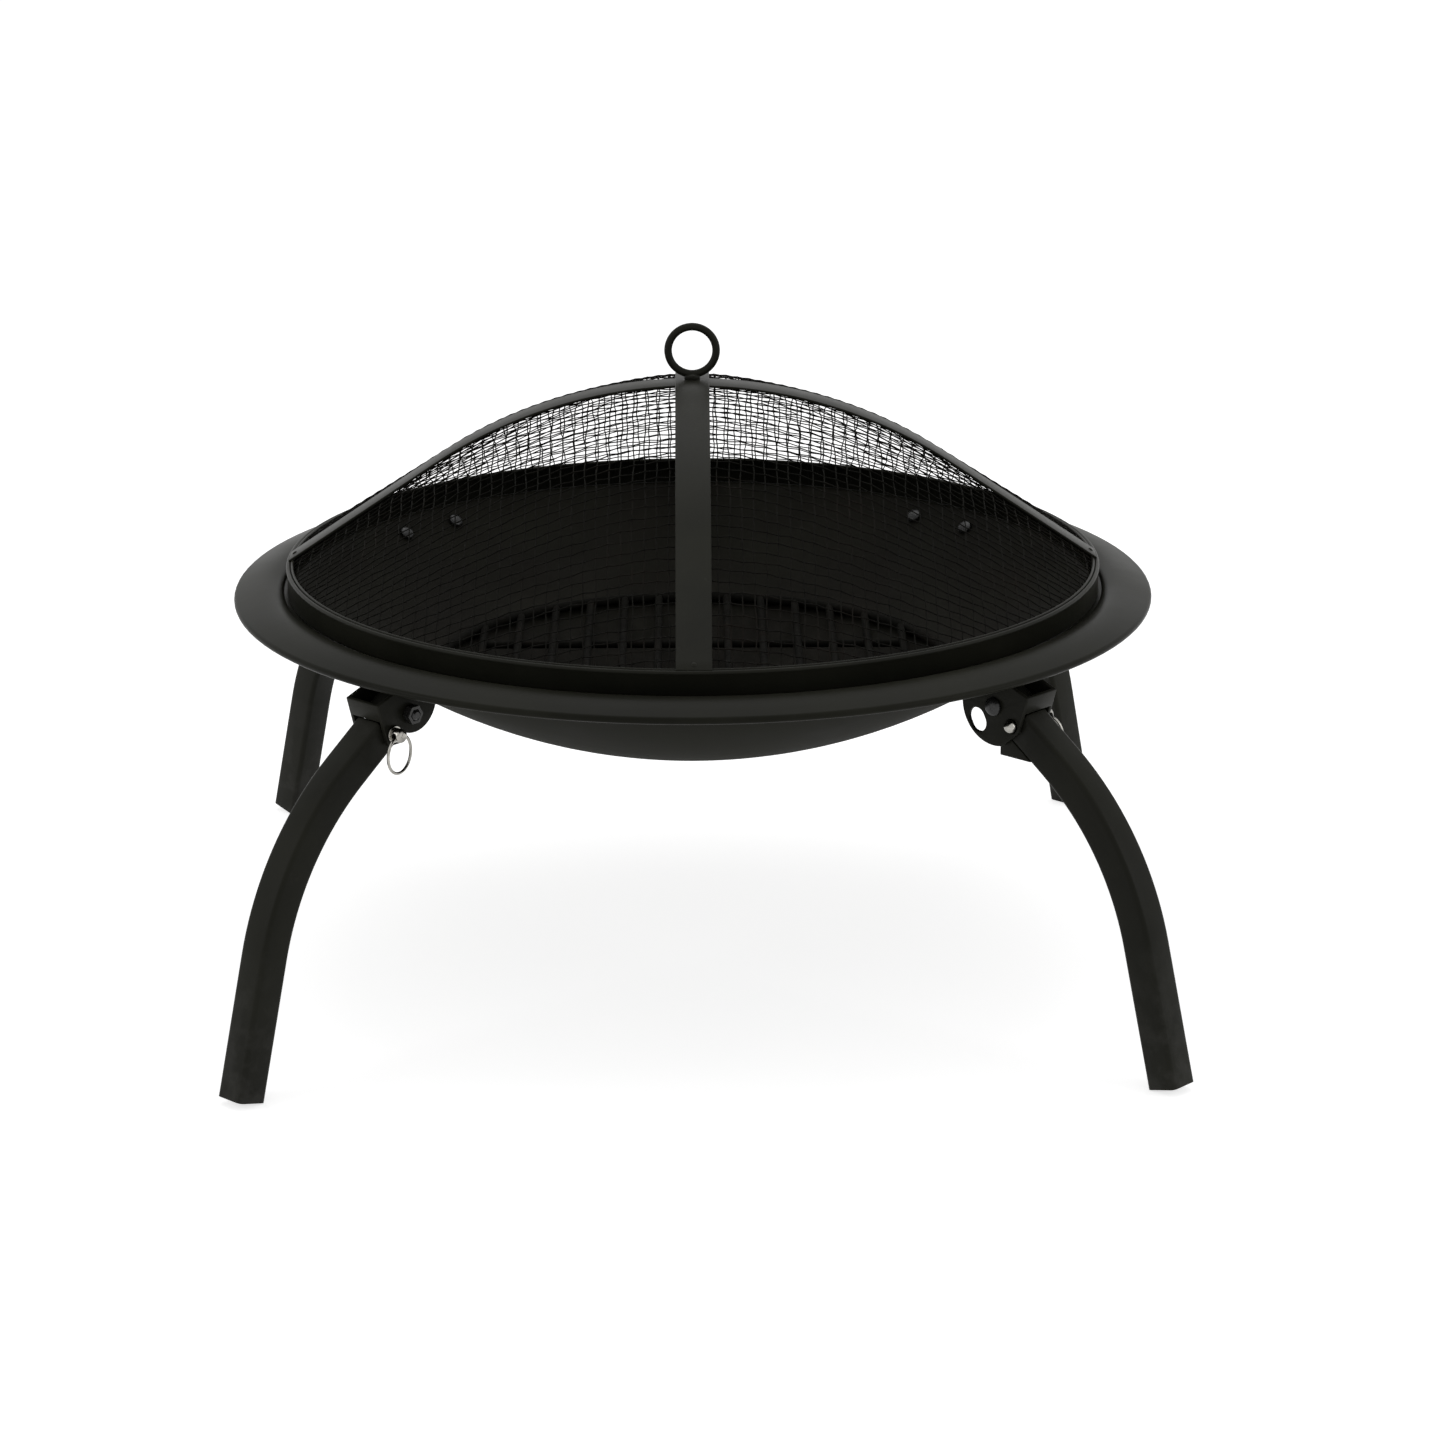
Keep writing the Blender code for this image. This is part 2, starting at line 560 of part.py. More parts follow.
def leg_mesh():
    """Bent square tube with a heel lug, its pivot hole and the path cut for the lock pin."""
    stations, lower = leg_path()
    bm = bmesh.new()
    skins = []
    for inset in (0, TUBE_WALL):
        section = square_section(HALF_TUBE - inset, max(TUBE_CORNER - inset, TUBE_CORNER / 3))
        loops = [section_loop(bm, section, point, slope) for point, slope in stations]
        for first, second in zip(loops, loops[1:]):
            bridge(bm, first, second)
        skins.append(loops)
    bridge(bm, skins[0][0], skins[1][0])
    bridge(bm, skins[0][-1], skins[1][-1])
    leg = add_helper("leg", mesh_from(bm, "leg"))
    under = PIVOT - TUBE_UP * (HALF_TUBE - TUBE_WALL / 2)
    heel = PIVOT + Vector((HEEL_OUT, 0, -HEEL_DROP))
    first = under + TUBE_ALONG * ((heel.x - under.x) / TUBE_ALONG.x)
    second = under + TUBE_ALONG * ((heel.z - under.z) / TUBE_ALONG.z)
    heel_outline = [(heel.x, heel.z), (second.x, second.z), (first.x, first.z)]
    side = GAP - HALF_TUBE
    heel_piece = add_helper("heel", mesh_from(prism(heel_outline, side, side + HEEL_THICKNESS), "heel"))
    combine(leg, [heel_piece], "UNION")
    through = 4 * HALF_TUBE
    start = Vector((0, -through / 2, 0))
    drill = cylinder(PIVOT_BOLT + 2 * RUNNING_CLEARANCE, PIVOT + start, (0, 1, 0), through)
    cutters = [add_helper("leg_drill", mesh_from(drill, "leg_drill"))]
    reach = LOCK_PIN / 2 + RUNNING_CLEARANCE
    low = LOCK_PIN_OFFSET - reach
    high = LOCK_PIN_OFFSET + reach
    track = arc(PIVOT.x, PIVOT.z, high, -LEG_SLOPE, PIN_TRACK_ANGLE, 7)
    track += arc(PIVOT.x, PIVOT.z, low, PIN_TRACK_ANGLE, -LEG_SLOPE, 7)
    track += arc(LOCK_POINT.x, LOCK_POINT.z, reach, 180 - LEG_SLOPE, 360 - LEG_SLOPE, 5)[1:-1]
    track_piece = prism(track, -through / 2, through / 2)
    cutters.append(add_helper("pin_track", mesh_from(track_piece, "pin_track")))
    combine(leg, cutters, "DIFFERENCE")
    mesh = finished_mesh(leg, [heel_piece, *cutters], "leg")
    mesh.transform(Matrix.Translation(-PIVOT))
    return mesh


def foot_plug_mesh():
    """Plug that closes the end of the tube at the foot."""
    stations, lower = leg_path()
    end, slope = stations[-1]
    half = HALF_TUBE - TUBE_WALL - GAP
    section = square_section(half, max(TUBE_CORNER - TUBE_WALL, TUBE_CORNER / 3))
    bm = bmesh.new()
    top = section_loop(bm, section, end - lower * FOOT_PLUG_HEIGHT, slope)
    bottom = section_loop(bm, section, end, slope)
    bridge(bm, top, bottom)
    bm.faces.new(top)
    bm.faces.new(bottom)
    mesh = mesh_from(bm, "foot_plug")
    mesh.transform(Matrix.Translation(-PIVOT))
    return mesh


def dome_head(diameter, height):
    """Profile of a domed head from its underside to its crown."""
    radius = diameter / 2
    edge = height / 3
    points = [(radius, 0), (radius, edge)]
    for i in (1, 2):
        angle = math.radians(45 * i)
        points.append((radius * math.cos(angle) if i < 2 else 0, edge + (height - edge) * math.sin(angle)))
    return points


def bolt_mesh(name, diameter, head, head_height, length, start, direction):
    """Domed bolt: its head ends at the start point and its shank runs along the direction."""
    radius = diameter / 2
    profile = [(x, -z) for x, z in reversed(dome_head(head, head_height))]
    profile += [(radius, 0), (radius, length - radius / 3), (radius * 2 / 3, length), (0, length)]
    return mesh_from(turned_along(profile, start, direction), name)


def lock_pin_mesh():
    """Quick-release pin: domed tip, shoulder, and a head with a cross hole for its ring."""
    radius = LOCK_PIN / 2
    tip = -BRACKET_HALF_WIDTH - LOCK_PIN_TIP
    shoulder = BRACKET_HALF_WIDTH + GAP
    after = shoulder + LOCK_PIN_SHOULDER_HEIGHT
    end = after + LOCK_PIN_HEAD
    profile = [(0, tip)]
    for i in (1, 2, 3):
        angle = math.radians(30 * i)
        profile.append((radius * math.sin(angle), tip + radius * (1 - math.cos(angle))))
    profile += [(radius, shoulder), (LOCK_PIN_SHOULDER / 2, shoulder), (LOCK_PIN_SHOULDER / 2, after)]
    profile += [(radius, after), (radius, end - radius / 4), (radius * 3 / 4, end), (0, end)]
    pin = add_helper("pin", mesh_from(turned_along(profile, (0, 0, 0), (0, 1, 0)), "pin"))
    start = Vector((-2 * radius, RING_AXIS_OUT, 0))
    drill = cylinder(RING_HOLE, start, (1, 0, 0), 4 * radius, RING_HOLE_SIDES)
    cutter = add_helper("pin_drill", mesh_from(drill, "pin_drill"))
    combine(pin, [cutter], "DIFFERENCE")
    return finished_mesh(pin, [cutter], "lock_pin")


def pull_ring_mesh():
    """Wire ring that hangs through the lock pin's head, with its top wire on the hinge axis."""
    bm = torus(RING_RADIUS, RING_WIRE, RING_STEPS, RING_WIRE_SIDES)
    bmesh.ops.translate(bm, verts=bm.verts, vec=(0, 0, -RING_RADIUS))
    return mesh_from(bm, "pull_ring", 60)


def dome_points(lift, steps, end_radius):
    """Lid profile raised square to itself by a lift, from the middle out to a radius."""
    flank = math.asin(CROWN_SPREAD / CROWN_RADIUS)
    base = MESH_RADIUS
    crown_edge = CROWN_RADIUS * (1 - math.cos(flank))
    apex = MESH_EDGE + crown_edge + (base - CROWN_SPREAD) * math.tan(flank)
    points = []
    for i in range(steps + 1):
        angle = flank * i / steps
        radius = (CROWN_RADIUS + lift) * math.sin(angle)
        points.append((radius, apex - CROWN_RADIUS + (CROWN_RADIUS + lift) * math.cos(angle)))
    last_radius, last_height = points[-1]
    points.append((end_radius, last_height - (end_radius - last_radius) * math.tan(flank)))
    return points


def hoop_mesh():
    """Base hoop of the lid: a band that stands on the ledge, with a rolled bead on top."""
    half = HOOP_SHEET / 2
    spread = math.degrees(math.asin(half / HOOP_BEAD_RADIUS))
    bead = HOOP_TOP - HOOP_BEAD_RADIUS
    profile = [(HOOP_RADIUS - half, HOOP_BOTTOM), (HOOP_RADIUS + half, HOOP_BOTTOM)]
    profile += arc(HOOP_RADIUS, bead, HOOP_BEAD_RADIUS, spread - 90, 270 - spread, 7)
    return mesh_from(spun(profile, SEGMENTS, closed=True), "lid_hoop")


def stud_hole(obj, name):
    """Cut the handle stud's hole through a piece at the top of the lid."""
    apex = dome_points(0, CROWN_STEPS, MESH_RADIUS)[0][1]
    reach = CROWN_RADIUS / 10
    drill = cylinder(HANDLE_STUD + 2 * GAP, (0, 0, apex - reach), (0, 0, 1), 2 * reach)
    cutter = add_helper("stud_drill", mesh_from(drill, "stud_drill"))
    combine(obj, [cutter], "DIFFERENCE")
    return finished_mesh(obj, [cutter], name)


def lid_mesh_mesh():
    """Wire mesh dome as one thin shell, with its edge turned down inside the hoop."""
    path = dome_points(0, CROWN_STEPS, MESH_RADIUS)
    path.append((MESH_RADIUS, MESH_EDGE - MESH_SKIRT))
    shell = add_helper("shell", mesh_from(spun(path, SEGMENTS), "shell"))
    wall = shell.modifiers.new("wall", "SOLIDIFY")
    wall.thickness = MESH_THICKNESS
    wall.offset = 0
    wall.use_even_offset = True
    return stud_hole(shell, "lid_mesh")


def strap_mesh(name, lift):
    """Flat strap bent over the dome from hoop to hoop, along X."""
    half = STRAP_THICKNESS / 2
    steps = STRAP_STEPS // 2
    outer = dome_points(lift + half, steps, STRAP_REACH)
    inner = dome_points(lift - half, steps, STRAP_REACH)
    outline = [(-x, z) for x, z in reversed(outer)] + outer[1:]
    outline += list(reversed(inner)) + [(-x, z) for x, z in inner[1:]]
    strap = add_helper("strap", mesh_from(prism(outline, -STRAP_WIDTH / 2, STRAP_WIDTH / 2), "strap"))
    return stud_hole(strap, name)


def handle_mesh(strap_top):
    """Lifting ring on a collar, with the stud that clamps it through the lid."""
    ring_radius = (HANDLE_RING_DIAMETER - HANDLE_WIRE) / 2
    collar = strap_top + GAP
    stud_end = strap_top - HIGH_STRAP_LIFT - STRAP_THICKNESS / 2 - MESH_THICKNESS - HANDLE_NUT_HEIGHT
    stud_end -= 2 * THREAD_END
    bevel = HANDLE_COLLAR_HEIGHT / 3
    top = collar + HANDLE_COLLAR_HEIGHT
    profile = [
        (0, stud_end),
        (HANDLE_STUD / 2, stud_end),
        (HANDLE_STUD / 2, collar),
        (HANDLE_COLLAR / 2, collar),
        (HANDLE_COLLAR / 2, top - bevel),
        (HANDLE_COLLAR / 2 - bevel, top),
        (0, top),
    ]
    base = add_helper("handle_base", mesh_from(spun(profile, COLLAR_SEGMENTS), "handle_base"))
    ring = torus(ring_radius, HANDLE_WIRE, HANDLE_STEPS, HANDLE_WIRE_SIDES)
    ring_centre = top - HANDLE_WIRE / 2 + HANDLE_RING_DIAMETER / 2
    bmesh.ops.translate(ring, verts=ring.verts, vec=(0, 0, ring_centre))
    loop = add_helper("handle_loop", mesh_from(ring, "handle_loop"))
    combine(base, [loop], "UNION")
    return finished_mesh(base, [loop], "lid_handle", 50)


def corner_frame(index):
    """Empty that holds one leg corner's frame."""
    frame = bpy.data.objects.new(f"corner_{CORNERS[index]}", None)
    bpy.context.scene.collection.objects.link(frame)
    frame.rotation_euler = (0, 0, corner_angle(index))
    return frame


def build_corner(index, meshes, paint, steel, plug, chrome):
    """Place one leg with its bracket, bolts, lock pin and pull ring."""
    frame = corner_frame(index)
    corner = CORNERS[index]
    add_object(f"leg_bracket_{corner}", meshes["bracket"], paint, frame)
    add_object(f"leg_{corner}", meshes["leg"], paint, frame, PIVOT)
    add_object(f"foot_plug_{corner}", meshes["foot_plug"], plug, frame, PIVOT)
    add_object(f"pivot_bolt_{corner}", meshes["pivot_bolt"], steel, frame, PIVOT)
    add_object(f"pivot_nut_{corner}", meshes["pivot_nut"], steel, frame, PIVOT)
    add_object(f"lock_pin_{corner}", meshes["lock_pin"], chrome, frame, LOCK_POINT)
    ring_place = LOCK_POINT + Vector((0, RING_AXIS_OUT, 0))
    add_object(f"pull_ring_{corner}", meshes["pull_ring"], chrome, frame, ring_place)
    for side, word in ((-1, "a"), (1, "b")):
        place = ear_bolt_point(side)
        add_object(f"bracket_bolt_{corner}_{word}", meshes["bracket_bolt"], steel, frame, place)
        add_object(f"bracket_nut_{corner}_{word}", meshes["bracket_nut"], steel, frame, place)


def corner_meshes():
    """Meshes that the four leg corners share."""
    half = BRACKET_HALF_WIDTH + GAP
    nut_face = Vector((0, half, 0))
    pivot_length = 2 * half + PIVOT_NUT_HEIGHT + THREAD_END
    inside = BOWL_INSIDE * math.cos(math.pi / SEGMENTS)
    head_reach = (BRACKET_BOLT_SPACING + BOLT_HEAD) / 2
    head_face = math.sqrt(inside**2 - head_reach**2) - BOWL_RADIUS - 2 * GAP
    head_point = EAR_DOWN * head_face
    ear_face = BRACKET_PLATE + GAP
    bolt_length = ear_face - head_face + BOLT_NUT_HEIGHT + THREAD_END
    pivot_nut = hexagon(PIVOT_NUT, PIVOT_BOLT + 2 * GAP, nut_face, (0, 1, 0), PIVOT_NUT_HEIGHT)
    ear_nut = hexagon(BOLT_NUT, BOLT + 2 * GAP, EAR_DOWN * ear_face, EAR_DOWN, BOLT_NUT_HEIGHT)
    return {
        "bracket": bracket_mesh(),
        "leg": leg_mesh(),
        "foot_plug": foot_plug_mesh(),
        "pivot_bolt": bolt_mesh(
            "pivot_bolt", PIVOT_BOLT, PIVOT_HEAD, PIVOT_HEAD_HEIGHT, pivot_length, -nut_face, (0, 1, 0)
        ),
        "pivot_nut": mesh_from(pivot_nut, "pivot_nut"),
        "lock_pin": lock_pin_mesh(),
        "pull_ring": pull_ring_mesh(),
        "bracket_bolt": bolt_mesh(
            "bracket_bolt", BOLT, BOLT_HEAD, BOLT_HEAD_HEIGHT, bolt_length, head_point, EAR_DOWN
        ),
        "bracket_nut": mesh_from(ear_nut, "bracket_nut"),
    }


def build_lid(paint, steel, wire):
    """Place the lid: hoop, mesh dome, crossed straps and handle."""
    add_object("lid_hoop", hoop_mesh(), paint)
    add_object("lid_mesh", lid_mesh_mesh(), wire)
    add_object("lid_strap_side_to_side", strap_mesh("low_strap", LOW_STRAP_LIFT), paint)
    high = add_object("lid_strap_front_to_back", strap_mesh("high_strap", HIGH_STRAP_LIFT), paint)
    high.rotation_euler = (0, 0, math.pi / 2)
    apex = dome_points(0, CROWN_STEPS, MESH_RADIUS)[0][1]
    strap_top = apex + HIGH_STRAP_LIFT + STRAP_THICKNESS / 2
    add_object("lid_handle", handle_mesh(strap_top), paint)
    fall = math.asin(CROWN_SPREAD / CROWN_RADIUS) / CROWN_STEPS / 2
    nut_corner = HANDLE_NUT / 2 / math.cos(math.pi / 6)
    nut_top = apex - MESH_THICKNESS / 2 - GAP - nut_corner * math.tan(fall)
    nut = hexagon(HANDLE_NUT, HANDLE_STUD + 2 * GAP, (0, 0, nut_top), (0, 0, -1), HANDLE_NUT_HEIGHT)
    add_object("lid_handle_nut", mesh_from(nut, "lid_handle_nut"), steel)


def main():
    clear_scene()
    paint = make_material("black_heat_paint", (0.022, 0.022, 0.021), 0.45, 0.0)
    steel = make_material("black_fasteners", (0.030, 0.030, 0.030), 0.40, 0.5)
    chrome = make_material("chrome", (0.78, 0.78, 0.80), 0.12, 1.0)
    wire = make_material("black_wire_mesh", (0.030, 0.029, 0.027), 0.50, 0.0)
    plug = make_material("black_plastic", (0.018, 0.018, 0.018), 0.60, 0.0)
    add_object("fire_bowl", bowl_mesh(), paint)
    meshes = corner_meshes()
    for index in range(len(CORNERS)):
        build_corner(index, meshes, paint, steel, plug, chrome)
    add_object("charcoal_grate", grate_mesh(), wire, None, (0, 0, GRATE_HEIGHT))
    build_lid(paint, steel, wire)


main()
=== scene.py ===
"""Dresses a folding fire pit: fine sheet metal, a woven wire lid, folding legs and studio light."""

import functools
import json
import math

import bmesh
import bpy
from mathutils import Matrix, Vector

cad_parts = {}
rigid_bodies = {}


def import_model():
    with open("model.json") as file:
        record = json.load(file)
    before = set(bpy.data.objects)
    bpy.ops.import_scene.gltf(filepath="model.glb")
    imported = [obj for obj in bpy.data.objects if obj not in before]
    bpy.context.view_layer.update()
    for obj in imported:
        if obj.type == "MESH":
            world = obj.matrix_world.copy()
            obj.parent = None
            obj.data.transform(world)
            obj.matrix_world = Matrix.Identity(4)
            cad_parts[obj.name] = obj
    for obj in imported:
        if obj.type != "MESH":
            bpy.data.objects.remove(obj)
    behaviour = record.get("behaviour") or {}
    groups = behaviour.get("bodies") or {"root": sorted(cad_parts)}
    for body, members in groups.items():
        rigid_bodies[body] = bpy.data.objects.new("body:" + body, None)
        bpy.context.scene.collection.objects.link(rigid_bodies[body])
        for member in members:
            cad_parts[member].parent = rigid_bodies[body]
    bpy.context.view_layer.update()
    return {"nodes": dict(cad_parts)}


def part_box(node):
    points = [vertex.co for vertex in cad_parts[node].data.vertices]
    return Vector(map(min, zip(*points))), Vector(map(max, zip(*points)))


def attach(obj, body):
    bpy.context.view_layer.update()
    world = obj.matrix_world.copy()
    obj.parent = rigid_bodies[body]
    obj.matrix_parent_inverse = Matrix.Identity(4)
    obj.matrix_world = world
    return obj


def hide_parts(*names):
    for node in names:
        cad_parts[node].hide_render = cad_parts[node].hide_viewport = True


bl_info = {
    "name": "Folding Fire Pit",
    "version": (1, 0, 0),
    "blender": (4, 5, 0),
    "location": "3D View > Sidebar > Fire Pit",
    "description": "Models the visible pieces of a folding fire pit and its studio stage",
    "category": "Add Mesh",
}

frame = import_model()
CORNERS = ("front_left", "front_right", "rear_right", "rear_left")
GAP = 0.0003


def length_property(name, description, default):
    """A length that a user may change, in metres."""
    return bpy.props.FloatProperty(name=name, description=description, default=default, unit="LENGTH")


def angle_property(name, description, degrees):
    """An angle that a user may change, with its default in degrees."""
    return bpy.props.FloatProperty(
        name=name, description=description, default=math.radians(degrees), subtype="ANGLE"
    )


def colour_property(name, description, default):
    """A linear colour that a user may change."""
    return bpy.props.FloatVectorProperty(name=name, description=description, default=default, subtype="COLOR")


class BowlSizes(bpy.types.PropertyGroup):
    """Sizes of the bowl and the grate in it."""

    rim_diameter: length_property("Rim Diameter", "Outside width of the rolled rim", 0.560)
    mouth_diameter: length_property("Mouth Diameter", "Width of the dish at the ledge", 0.489)
    clearance: length_property("Ground Clearance", "Floor to the lowest point of the dish", 0.134)
    depth: length_property("Depth", "Height of the dish up to the ledge", 0.097)
    sheet: length_property("Sheet", "Thickness of the bowl's steel sheet", 0.0012)
    ledge: length_property("Ledge", "Width of the ledge that carries the lid", 0.006)
    grate_radius: length_property("Grate Radius", "Radius of the grate's rim wire", 0.160)


class LegSizes(bpy.types.PropertyGroup):
    """Sizes of the legs, their brackets and their pins."""

    first_angle: angle_property("First Corner", "Turn of the first leg corner", -43.5)
    tube: length_property("Tube", "Outside width of the square tube", 0.020)
    tube_wall: length_property("Tube Wall", "Wall of the square tube", 0.0015)
    tube_corner: length_property("Tube Corner", "Outside corner radius of the tube", 0.003)
    bend: length_property("Bend Radius", "Radius of the bend along the tube's middle", 0.170)
    slope: angle_property("Upper Slope", "Fall of the tube at its upper end", 36)
    lean: angle_property("Lower Lean", "Lean of the tube at its foot", 14.5)
    foot_radius: length_property("Foot Radius", "Distance of a foot from the middle", 0.3767)
    plate: length_property("Bracket Plate", "Thickness of a bracket plate", 0.0025)
    pin: length_property("Lock Pin", "Diameter of a lock pin", 0.008)
    ring_radius: length_property("Ring Radius", "Radius of a pull ring", 0.0112)
    ring_wire: length_property("Ring Wire", "Thickness of a pull ring's wire", 0.0018)


class LidSizes(bpy.types.PropertyGroup):
    """Sizes of the lid's hoop, wire mesh, straps and handle."""

    hoop_radius: length_property("Hoop Radius", "Middle radius of the base hoop", 0.24665)
    hoop_height: length_property("Hoop Height", "Height of the base hoop", 0.0158)
    bead: length_property("Bead", "Radius of the hoop's rolled bead", 0.0014)
    mesh_inset: length_property("Mesh Inset", "Hoop's middle to the edge of the mesh", 0.0033)
    mesh_rise: length_property("Mesh Rise", "Hoop's lower edge to the edge of the mesh", 0.0157)
    pitch: length_property("Mesh Pitch", "Distance between wires of the mesh", 0.007)
    wire: length_property("Mesh Wire", "Thickness of the mesh's wire", 0.00075)
    sag: length_property("Mesh Sag", "Sag of the mesh between the straps", 0.0026)
    strap_width: length_property("Strap Width", "Width of a strap", 0.0205)
    strap_sheet: length_property("Strap Thickness", "Thickness of a strap", 0.0015)
    handle_diameter: length_property("Handle Diameter", "Outside width of the ring handle", 0.0337)
    handle_wire: length_property("Handle Wire", "Thickness of the ring handle's wire", 0.0047)


class FinishColours(bpy.types.PropertyGroup):
    """Colours of the finishes."""

    paint: colour_property("Heat Paint", "Satin black heat paint", (0.0120, 0.0121, 0.0088))
    ash: colour_property("Ash", "Dusting of ash in the dish", (0.05, 0.045, 0.040))
    wire: colour_property("Wire", "Paint on the lid's wire mesh", (0.0062, 0.0060, 0.0050))
    plating: colour_property("Plating", "Bright plating of pins and rings", (0.38, 0.37, 0.34))
    fastener: colour_property("Fasteners", "Blackened bolts and nuts", (0.011, 0.011, 0.011))
    plug: colour_property("Foot Plug", "Black plastic foot plugs", (0.016, 0.016, 0.016))
    floor: colour_property("Floor", "Pale studio floor", (0.86, 0.86, 0.86))


def settings(name):
    """One group of the sizes or colours."""
    return getattr(bpy.context.scene, name)


# Shapes


def deselect():
    """Leave edit mode and select nothing."""
    if bpy.context.mode != "OBJECT":
        bpy.ops.object.mode_set(mode="OBJECT")
    bpy.ops.object.select_all(action="DESELECT")


def choose(obj):
    """Select one object only and make it active."""
    deselect()
    bpy.context.view_layer.objects.active = obj
    obj.select_set(True)


def edit(obj):
    """Put an object in edit mode and give its mesh."""
    choose(obj)
    bpy.ops.object.mode_set(mode="EDIT")
    return bmesh.from_edit_mesh(obj.data)


def pick(bm, test, kind="verts"):
    """Select only the vertices, edges or faces that pass a test."""
    bpy.ops.mesh.select_mode(type={"verts": "VERT", "edges": "EDGE", "faces": "FACE"}[kind])
    bpy.ops.mesh.select_all(action="DESELECT")
    for item in getattr(bm, kind):
        if test(item):
            item.select_set(True)
    bm.select_flush_mode()


def apply_modifier(obj, kind, **values):
    """Add a modifier, set it and apply it."""
    choose(obj)
    modifier = obj.modifiers.new(kind.lower(), kind)
    for key, value in values.items():
        setattr(modifier, key, value)
    bpy.ops.object.modifier_apply(modifier=modifier.name)


def cut(obj, cutter):
    """Cut one shape out of another and delete the cutter."""
    apply_modifier(obj, "BOOLEAN", operation="DIFFERENCE", solver="EXACT", object=cutter)
    bpy.data.objects.remove(cutter, do_unlink=True)


def soften(obj, width):
    """Round the sharp edges a little and shade the rest smooth."""
    angle = 40
    apply_modifier(
        obj, "BEVEL", width=width, segments=3, limit_method="ANGLE", angle_limit=math.radians(angle)
    )
    smooth(obj, angle)


def smooth(obj, angle):
    """Shade an object smooth except over edges sharper than an angle in degrees."""
    choose(obj)
    bpy.ops.object.shade_smooth_by_angle(angle=math.radians(angle))


def merge(objects, name):
    """Join several shapes into one object."""
    choose(objects[0])
    for obj in objects:
        obj.select_set(True)
    bpy.ops.object.join()
    objects[0].name = name
    objects[0].data.name = name
    return objects[0]


def arc(centre, radius, start, end, steps):
    """Points of an arc in a profile's plane, angles in degrees."""
    angles = [math.radians(start + (end - start) * i / steps) for i in range(steps + 1)]
    return [(centre[0] + radius * math.cos(a), centre[1] + radius * math.sin(a)) for a in angles]


def lathe(name, profile, steps, closed=False):
    """Draw a profile of (radius, height) points vertex by vertex and spin it round the vertical."""
    deselect()
    bpy.ops.mesh.primitive_plane_add(size=0.01, location=(0, 0, 0))
    obj = bpy.context.object
    edit(obj)
    bpy.ops.mesh.select_mode(type="VERT")
    bpy.ops.mesh.select_all(action="SELECT")
    bpy.ops.mesh.merge(type="CENTER")
    bpy.ops.transform.translate(value=(profile[0][0], 0, profile[0][1]))
    for last, point in zip(profile, profile[1:]):
        move = (point[0] - last[0], 0, point[1] - last[1])
        bpy.ops.mesh.extrude_vertices_move(TRANSFORM_OT_translate={"value": move})
    if closed:
        bm = bmesh.from_edit_mesh(obj.data)
        pick(bm, lambda vert: len(vert.link_edges) == 1)
        bpy.ops.mesh.edge_face_add()
    bpy.ops.mesh.select_all(action="SELECT")
    bpy.ops.mesh.spin(steps=steps, angle=math.tau, center=(0, 0, 0), axis=(0, 0, 1))
    bpy.ops.mesh.select_all(action="SELECT")
    bpy.ops.mesh.remove_doubles(threshold=0.000004)
    bpy.ops.mesh.dissolve_degenerate(threshold=0.000001)
    bpy.ops.mesh.select_all(action="SELECT")
    bpy.ops.mesh.normals_make_consistent(inside=False)
    deselect()
    obj.name = name
    return obj


def plate(name, outline, low, high):
    """Cut a plate to an outline of (x, z) points and give it its thickness along Y."""
    deselect()
    bpy.ops.mesh.primitive_circle_add(vertices=len(outline), radius=0.01, fill_type="NGON")
    obj = bpy.context.object
    bm = edit(obj)
    bm.verts.ensure_lookup_table()
    for vert, (x, z) in zip(bm.verts, outline):
        vert.co = (x, low, z)
    bmesh.update_edit_mesh(obj.data)
    bpy.ops.mesh.select_all(action="SELECT")
    bpy.ops.mesh.extrude_region_move(TRANSFORM_OT_translate={"value": (0, high - low, 0)})
    bpy.ops.mesh.select_all(action="SELECT")
    bpy.ops.mesh.normals_make_consistent(inside=False)
    deselect()
    obj.name = name
    return obj


def turn_mesh(obj, matrix):
    """Move a shape's mesh, so that its object stays at the origin."""
    obj.data.transform(matrix)
    obj.data.update()
    return obj


def rod(diameter, start, direction, length, steps=32):
    """A round bar from a start point, to cut holes with."""
    radius = diameter / 2
    profile = [(0, 0), (radius, 0), (radius, length), (0, length)]
    return point_along(lathe("rod", profile, steps), start, direction)


def upright_ring(radius, wire, segments, sides):
    """A wire ring that stands in the XZ plane about the origin."""
    deselect()
    bpy.ops.mesh.primitive_torus_add(
        major_radius=radius, minor_radius=wire / 2, major_segments=segments, minor_segments=sides
    )
    return turn_mesh(bpy.context.object, Matrix.Rotation(math.pi / 2, 4, "X"))


def point_along(obj, start, direction):
    """Turn a shape that was made up the vertical along a direction, from a start point."""
    turn = Vector((0, 0, 1)).rotation_difference(Vector(direction)).to_matrix().to_4x4()
    return turn_mesh(obj, Matrix.Translation(Vector(start)) @ turn)


def points_between(first, last, steps=8):
    """Points in equal steps along a straight line."""
    return [Vector(first).lerp(Vector(last), i / steps) for i in range(steps + 1)]


def finish_piece(obj, body, material, nodes):
    """Give a piece its finish, its body and the nodes that it stands for."""
    obj.data.materials.clear()
    obj.data.materials.append(material)
    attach(obj, body)
    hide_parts(*nodes)


def corner_turn(index):
    """Turn of a leg corner about the vertical."""
    return Matrix.Rotation(settings("pit_legs").first_angle + math.radians(90 * index - 90), 4, "Z")


def copy_to_corners(obj, name, body, material, nodes):
    """Put a copy of a corner piece, each with its own mesh, at each of the four corners."""
    for index, corner in enumerate(CORNERS):
        copy = obj.copy()
        copy.data = obj.data.copy()
        bpy.context.scene.collection.objects.link(copy)
        copy.name = f"{name}_{corner}"
        copy.data.name = copy.name
        turn_mesh(copy, corner_turn(index))
        finish_piece(copy, body.format(corner), material, [node.format(corner) for node in nodes])
    bpy.data.objects.remove(obj, do_unlink=True)


